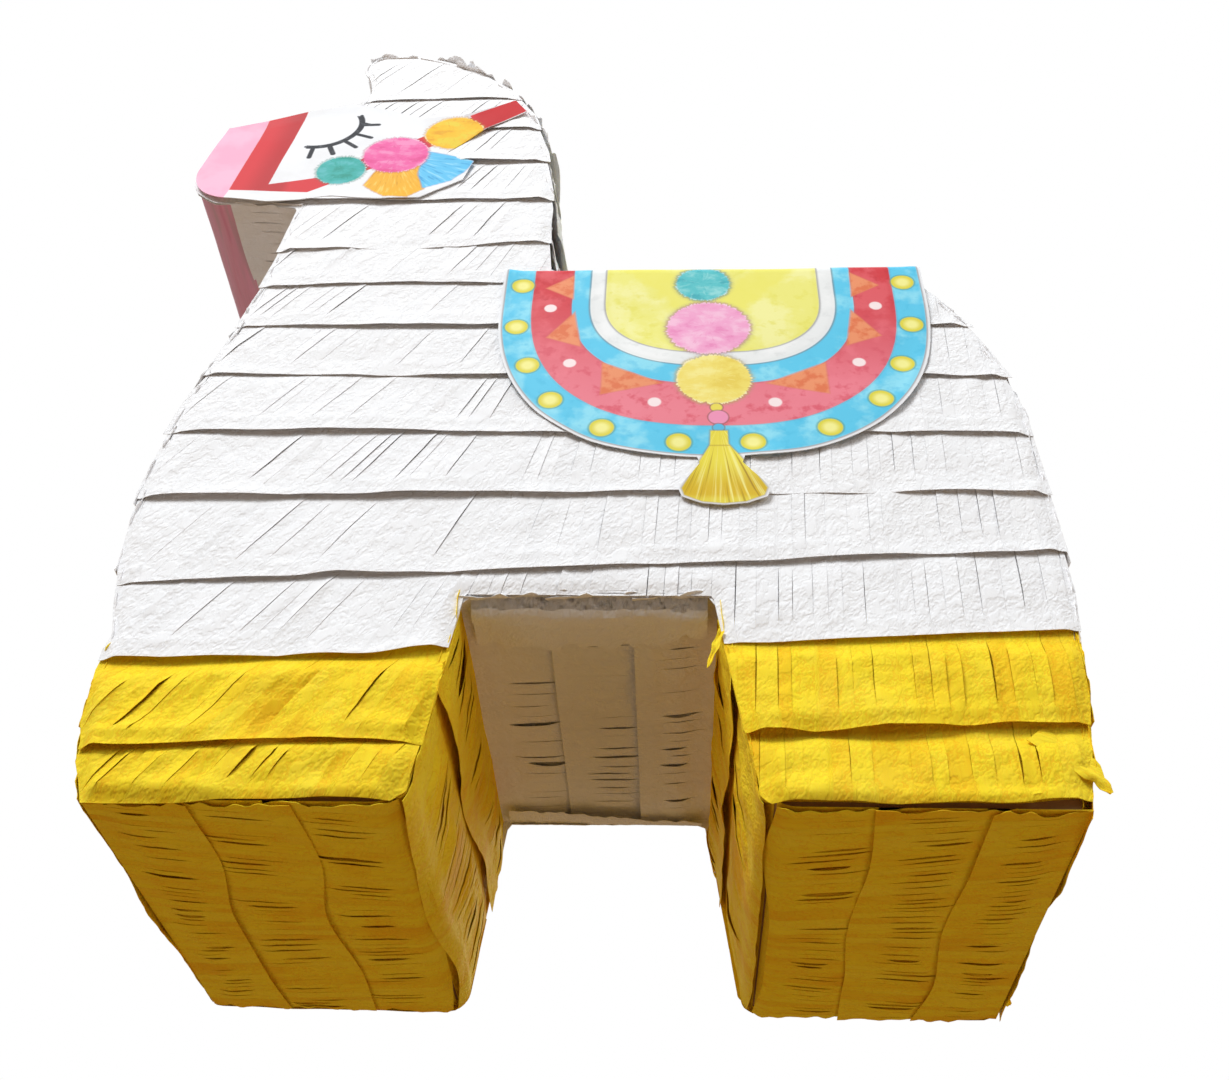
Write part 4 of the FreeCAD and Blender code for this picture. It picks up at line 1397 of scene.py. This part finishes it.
# ---- stage -----------------------------------------------------------------------
def one_sided(name, base):
    """A matt floor that shows from above and lets the view through from below."""
    f = Finish(name, base, 0.9)
    x, y, z = f.place()
    speck = f.noise(f.vector(x, y), 0.02, 3.0)
    f.mix(toned(base, 0.97), speck.step(0.4, 0.6, 0.5))
    material = f.done()
    tree = f.tree
    clear = tree.nodes.new("ShaderNodeBsdfTransparent")
    back = tree.nodes.new("ShaderNodeNewGeometry")
    mix = tree.nodes.new("ShaderNodeMixShader")
    out = tree.nodes["Material Output"]
    tree.links.new(back.outputs["Backfacing"], mix.inputs[0])
    tree.links.new(f.shader.outputs[0], mix.inputs[1])
    tree.links.new(clear.outputs[0], mix.inputs[2])
    tree.links.new(mix.outputs[0], out.inputs["Surface"])
    return material


FLOOR_RADIUS = 30.0
FLOOR_DROP = 0.0005                                # below the soles, in metres
CAMERA_PLACE = (0.04285, -0.33756, -0.16045)       # low in front, looking up
CAMERA_TILT, CAMERA_HEADING, CAMERA_ROLL = 132.5625, 3.8977, 2.6834
LAMPS = (("key", (-0.5, -1.3, 1.25), 0.7, 23.0), ("fill", (1.6, -0.8, 0.7), 1.6, 4.0),
         ("rear", (0.4, 1.8, 1.4), 1.2, 14.0))     # place, size in metres and power
LAMP_AIM = Vector((0.0, 0.0, 0.2))


def build_floor(scene, s):
    mesh = bpy.data.meshes.new("floor")
    bm = bmesh.new()
    bmesh.ops.create_circle(bm, cap_ends=True, segments=128, radius=FLOOR_RADIUS)
    bm.to_mesh(mesh)
    bm.free()
    if mesh.polygons[0].normal.z < 0:
        mesh.flip_normals()
    floor = bpy.data.objects.new("floor", mesh)
    floor.location.z = CAD_BOUNDS[0][2] - FLOOR_DROP
    mesh.materials.append(one_sided("floor", s.floor))
    scene.collection.objects.link(floor)
    floor.visible_shadow = False
    floor.visible_diffuse = False
    floor.visible_glossy = False
    floor.visible_transmission = False


def build_camera(scene, s):
    camera = bpy.data.cameras.new("camera")
    camera.lens, camera.sensor_width = s.lens, 36.0
    camera.clip_start, camera.clip_end = 0.01, 50.0
    eye = bpy.data.objects.new("camera", camera)
    eye.matrix_world = (Matrix.Translation(CAMERA_PLACE)
                        @ Matrix.Rotation(math.radians(CAMERA_HEADING), 4, "Z")
                        @ Matrix.Rotation(math.radians(CAMERA_TILT), 4, "X")
                        @ Matrix.Rotation(math.radians(CAMERA_ROLL), 4, "Z"))
    scene.collection.objects.link(eye)
    scene.camera = eye


def build_lamps(scene, s):
    for name, place, size, power in LAMPS:
        light = bpy.data.lights.new(name, "AREA")
        light.shape, light.size = "DISK", size
        light.energy = power * s.key
        light.color = (0.96, 0.985, 1.0)
        lamp = bpy.data.objects.new(name, light)
        lamp.location = place
        aim = LAMP_AIM - Vector(place)
        lamp.rotation_euler = aim.to_track_quat("-Z", "Y").to_euler()
        scene.collection.objects.link(lamp)


def build_world(scene):
    """A studio glow, cool from above and warm from below, that the camera sees as white."""
    world = bpy.data.worlds.new("studio")
    world.use_nodes = True
    scene.world = world
    tree = world.node_tree
    ground = tree.nodes["Background"]
    where = tree.nodes.new("ShaderNodeTexCoord")
    split = tree.nodes.new("ShaderNodeSeparateXYZ")
    tree.links.new(where.outputs["Generated"], split.inputs[0])
    height = Ink(tree, split.outputs[2])
    ends = abs(Ink(tree, split.outputs[0])).step(0.35, 0.8)
    glow = (height.step(-0.1, 0.25, 0.78, lo=0.06) + height.step(-0.45, -0.95, 0.20)
            + ends * height.step(-0.15, -0.5) * 0.72)
    mix = tree.nodes.new("ShaderNodeMix")
    mix.data_type = "RGBA"
    tree.links.new(height.step(-0.3, 0.2).socket, mix.inputs[0])
    mix.inputs[6].default_value = (1.0, 0.70, 0.44, 1.0)
    mix.inputs[7].default_value = (0.94, 0.975, 1.0, 1.0)
    tree.links.new(mix.outputs[2], ground.inputs["Color"])
    tree.links.new(glow.socket, ground.inputs["Strength"])
    shown = tree.nodes.new("ShaderNodeBackground")
    shown.inputs["Color"].default_value = (1.0, 1.0, 1.0, 1.0)
    path = tree.nodes.new("ShaderNodeLightPath")
    blend = tree.nodes.new("ShaderNodeMixShader")
    tree.links.new(path.outputs["Is Camera Ray"], blend.inputs[0])
    tree.links.new(ground.outputs[0], blend.inputs[1])
    tree.links.new(shown.outputs[0], blend.inputs[2])
    tree.links.new(blend.outputs[0], tree.nodes["World Output"].inputs["Surface"])


def build_stage():
    scene = bpy.context.scene
    s = scene.pinata_stage
    build_floor(scene, s)
    build_camera(scene, s)
    build_lamps(scene, s)
    build_world(scene)
    scene.view_settings.view_transform = "Standard"


# ---- operators -------------------------------------------------------------------
class PINATA_OT_card(Operator):
    """Gives the cardboard shell and the hanger their finishes"""
    bl_idname = "pinata.card"
    bl_label = "Card and Hanger"

    def execute(self, context):
        s = context.scene.pinata_card
        board = card_finish("corrugated_card", s.card, flutes=7.0)
        bent = card_finish("wall_card", toned(s.card, 0.9))
        wood = wood_finish("bar_wood", s.wood)
        for name, node in frame["nodes"].items():
            if name.endswith("_panel"):
                pick = board
            elif name == "hanger_bar":
                pick = wood
            elif name.endswith(("_wall", "_sole", "_arch", "_flap", "_plate")):
                pick = bent
            else:
                continue
            node.data.materials.clear()
            node.data.materials.append(pick)
        return {"FINISHED"}


class PINATA_OT_front_rows(Operator):
    """Hangs the slit crepe rows on the front side"""
    bl_idname = "pinata.front_rows"
    bl_label = "Front Crepe Rows"

    def execute(self, context):
        crepe_rows("front", -1)
        return {"FINISHED"}


class PINATA_OT_back_rows(Operator):
    """Hangs the slit crepe rows on the back side"""
    bl_idname = "pinata.back_rows"
    bl_label = "Back Crepe Rows"

    def execute(self, context):
        crepe_rows("back", 1)
        return {"FINISHED"}


class PINATA_OT_wall_strips(Operator):
    """Lays the crepe strips across every wall between the sides"""
    bl_idname = "pinata.wall_strips"
    bl_label = "Wall Strips"

    def execute(self, context):
        build_walls()
        return {"FINISHED"}


class PINATA_OT_crease(Operator):
    """Glues a paper hinge over the fill flap's crease"""
    bl_idname = "pinata.crease"
    bl_label = "Flap Crease"

    def execute(self, context):
        build_crease()
        return {"FINISHED"}


class PINATA_OT_muzzle(Operator):
    """Wraps the muzzle in pink paper"""
    bl_idname = "pinata.muzzle"
    bl_label = "Muzzle Wrap"

    def execute(self, context):
        build_wrap()
        return {"FINISHED"}


class PINATA_OT_face_prints(Operator):
    """Glues on the printed cheeks"""
    bl_idname = "pinata.face_prints"
    bl_label = "Face Prints"

    def execute(self, context):
        build_face_prints()
        return {"FINISHED"}


class PINATA_OT_saddle(Operator):
    """Drapes the printed saddle over the back"""
    bl_idname = "pinata.saddle"
    bl_label = "Saddle"

    def execute(self, context):
        build_saddle()
        return {"FINISHED"}


class PINATA_OT_stage(Operator):
    """Sets the floor, the lights and the camera"""
    bl_idname = "pinata.stage"
    bl_label = "Stage"

    def execute(self, context):
        build_stage()
        return {"FINISHED"}


class PINATA_PT_panel(Panel):
    """Lists the steps that dress the pinata"""
    bl_label = "Pinata"
    bl_idname = "PINATA_PT_panel"
    bl_space_type = "VIEW_3D"
    bl_region_type = "UI"
    bl_category = "Pinata"

    def draw(self, context):
        for step in STEPS:
            self.layout.operator(step.bl_idname)


STEPS = (PINATA_OT_card, PINATA_OT_front_rows, PINATA_OT_back_rows, PINATA_OT_wall_strips,
         PINATA_OT_crease, PINATA_OT_muzzle, PINATA_OT_face_prints, PINATA_OT_saddle,
         PINATA_OT_stage)
SETTINGS = {"pinata_crepe": CrepeSettings, "pinata_print": PrintSettings,
            "pinata_card": CardSettings, "pinata_stage": StageSettings}


def register():
    for cls in (*SETTINGS.values(), *STEPS, PINATA_PT_panel):
        bpy.utils.register_class(cls)
    for name, cls in SETTINGS.items():
        setattr(bpy.types.Scene, name, PointerProperty(type=cls))


def unregister():
    for name in SETTINGS:
        delattr(bpy.types.Scene, name)
    for cls in (PINATA_PT_panel, *STEPS[::-1], *SETTINGS.values()):
        bpy.utils.unregister_class(cls)


def main():
    register()
    for step in STEPS:
        getattr(bpy.ops.pinata, step.bl_idname.split(".")[1])()


if __name__ == "__main__":
    main()
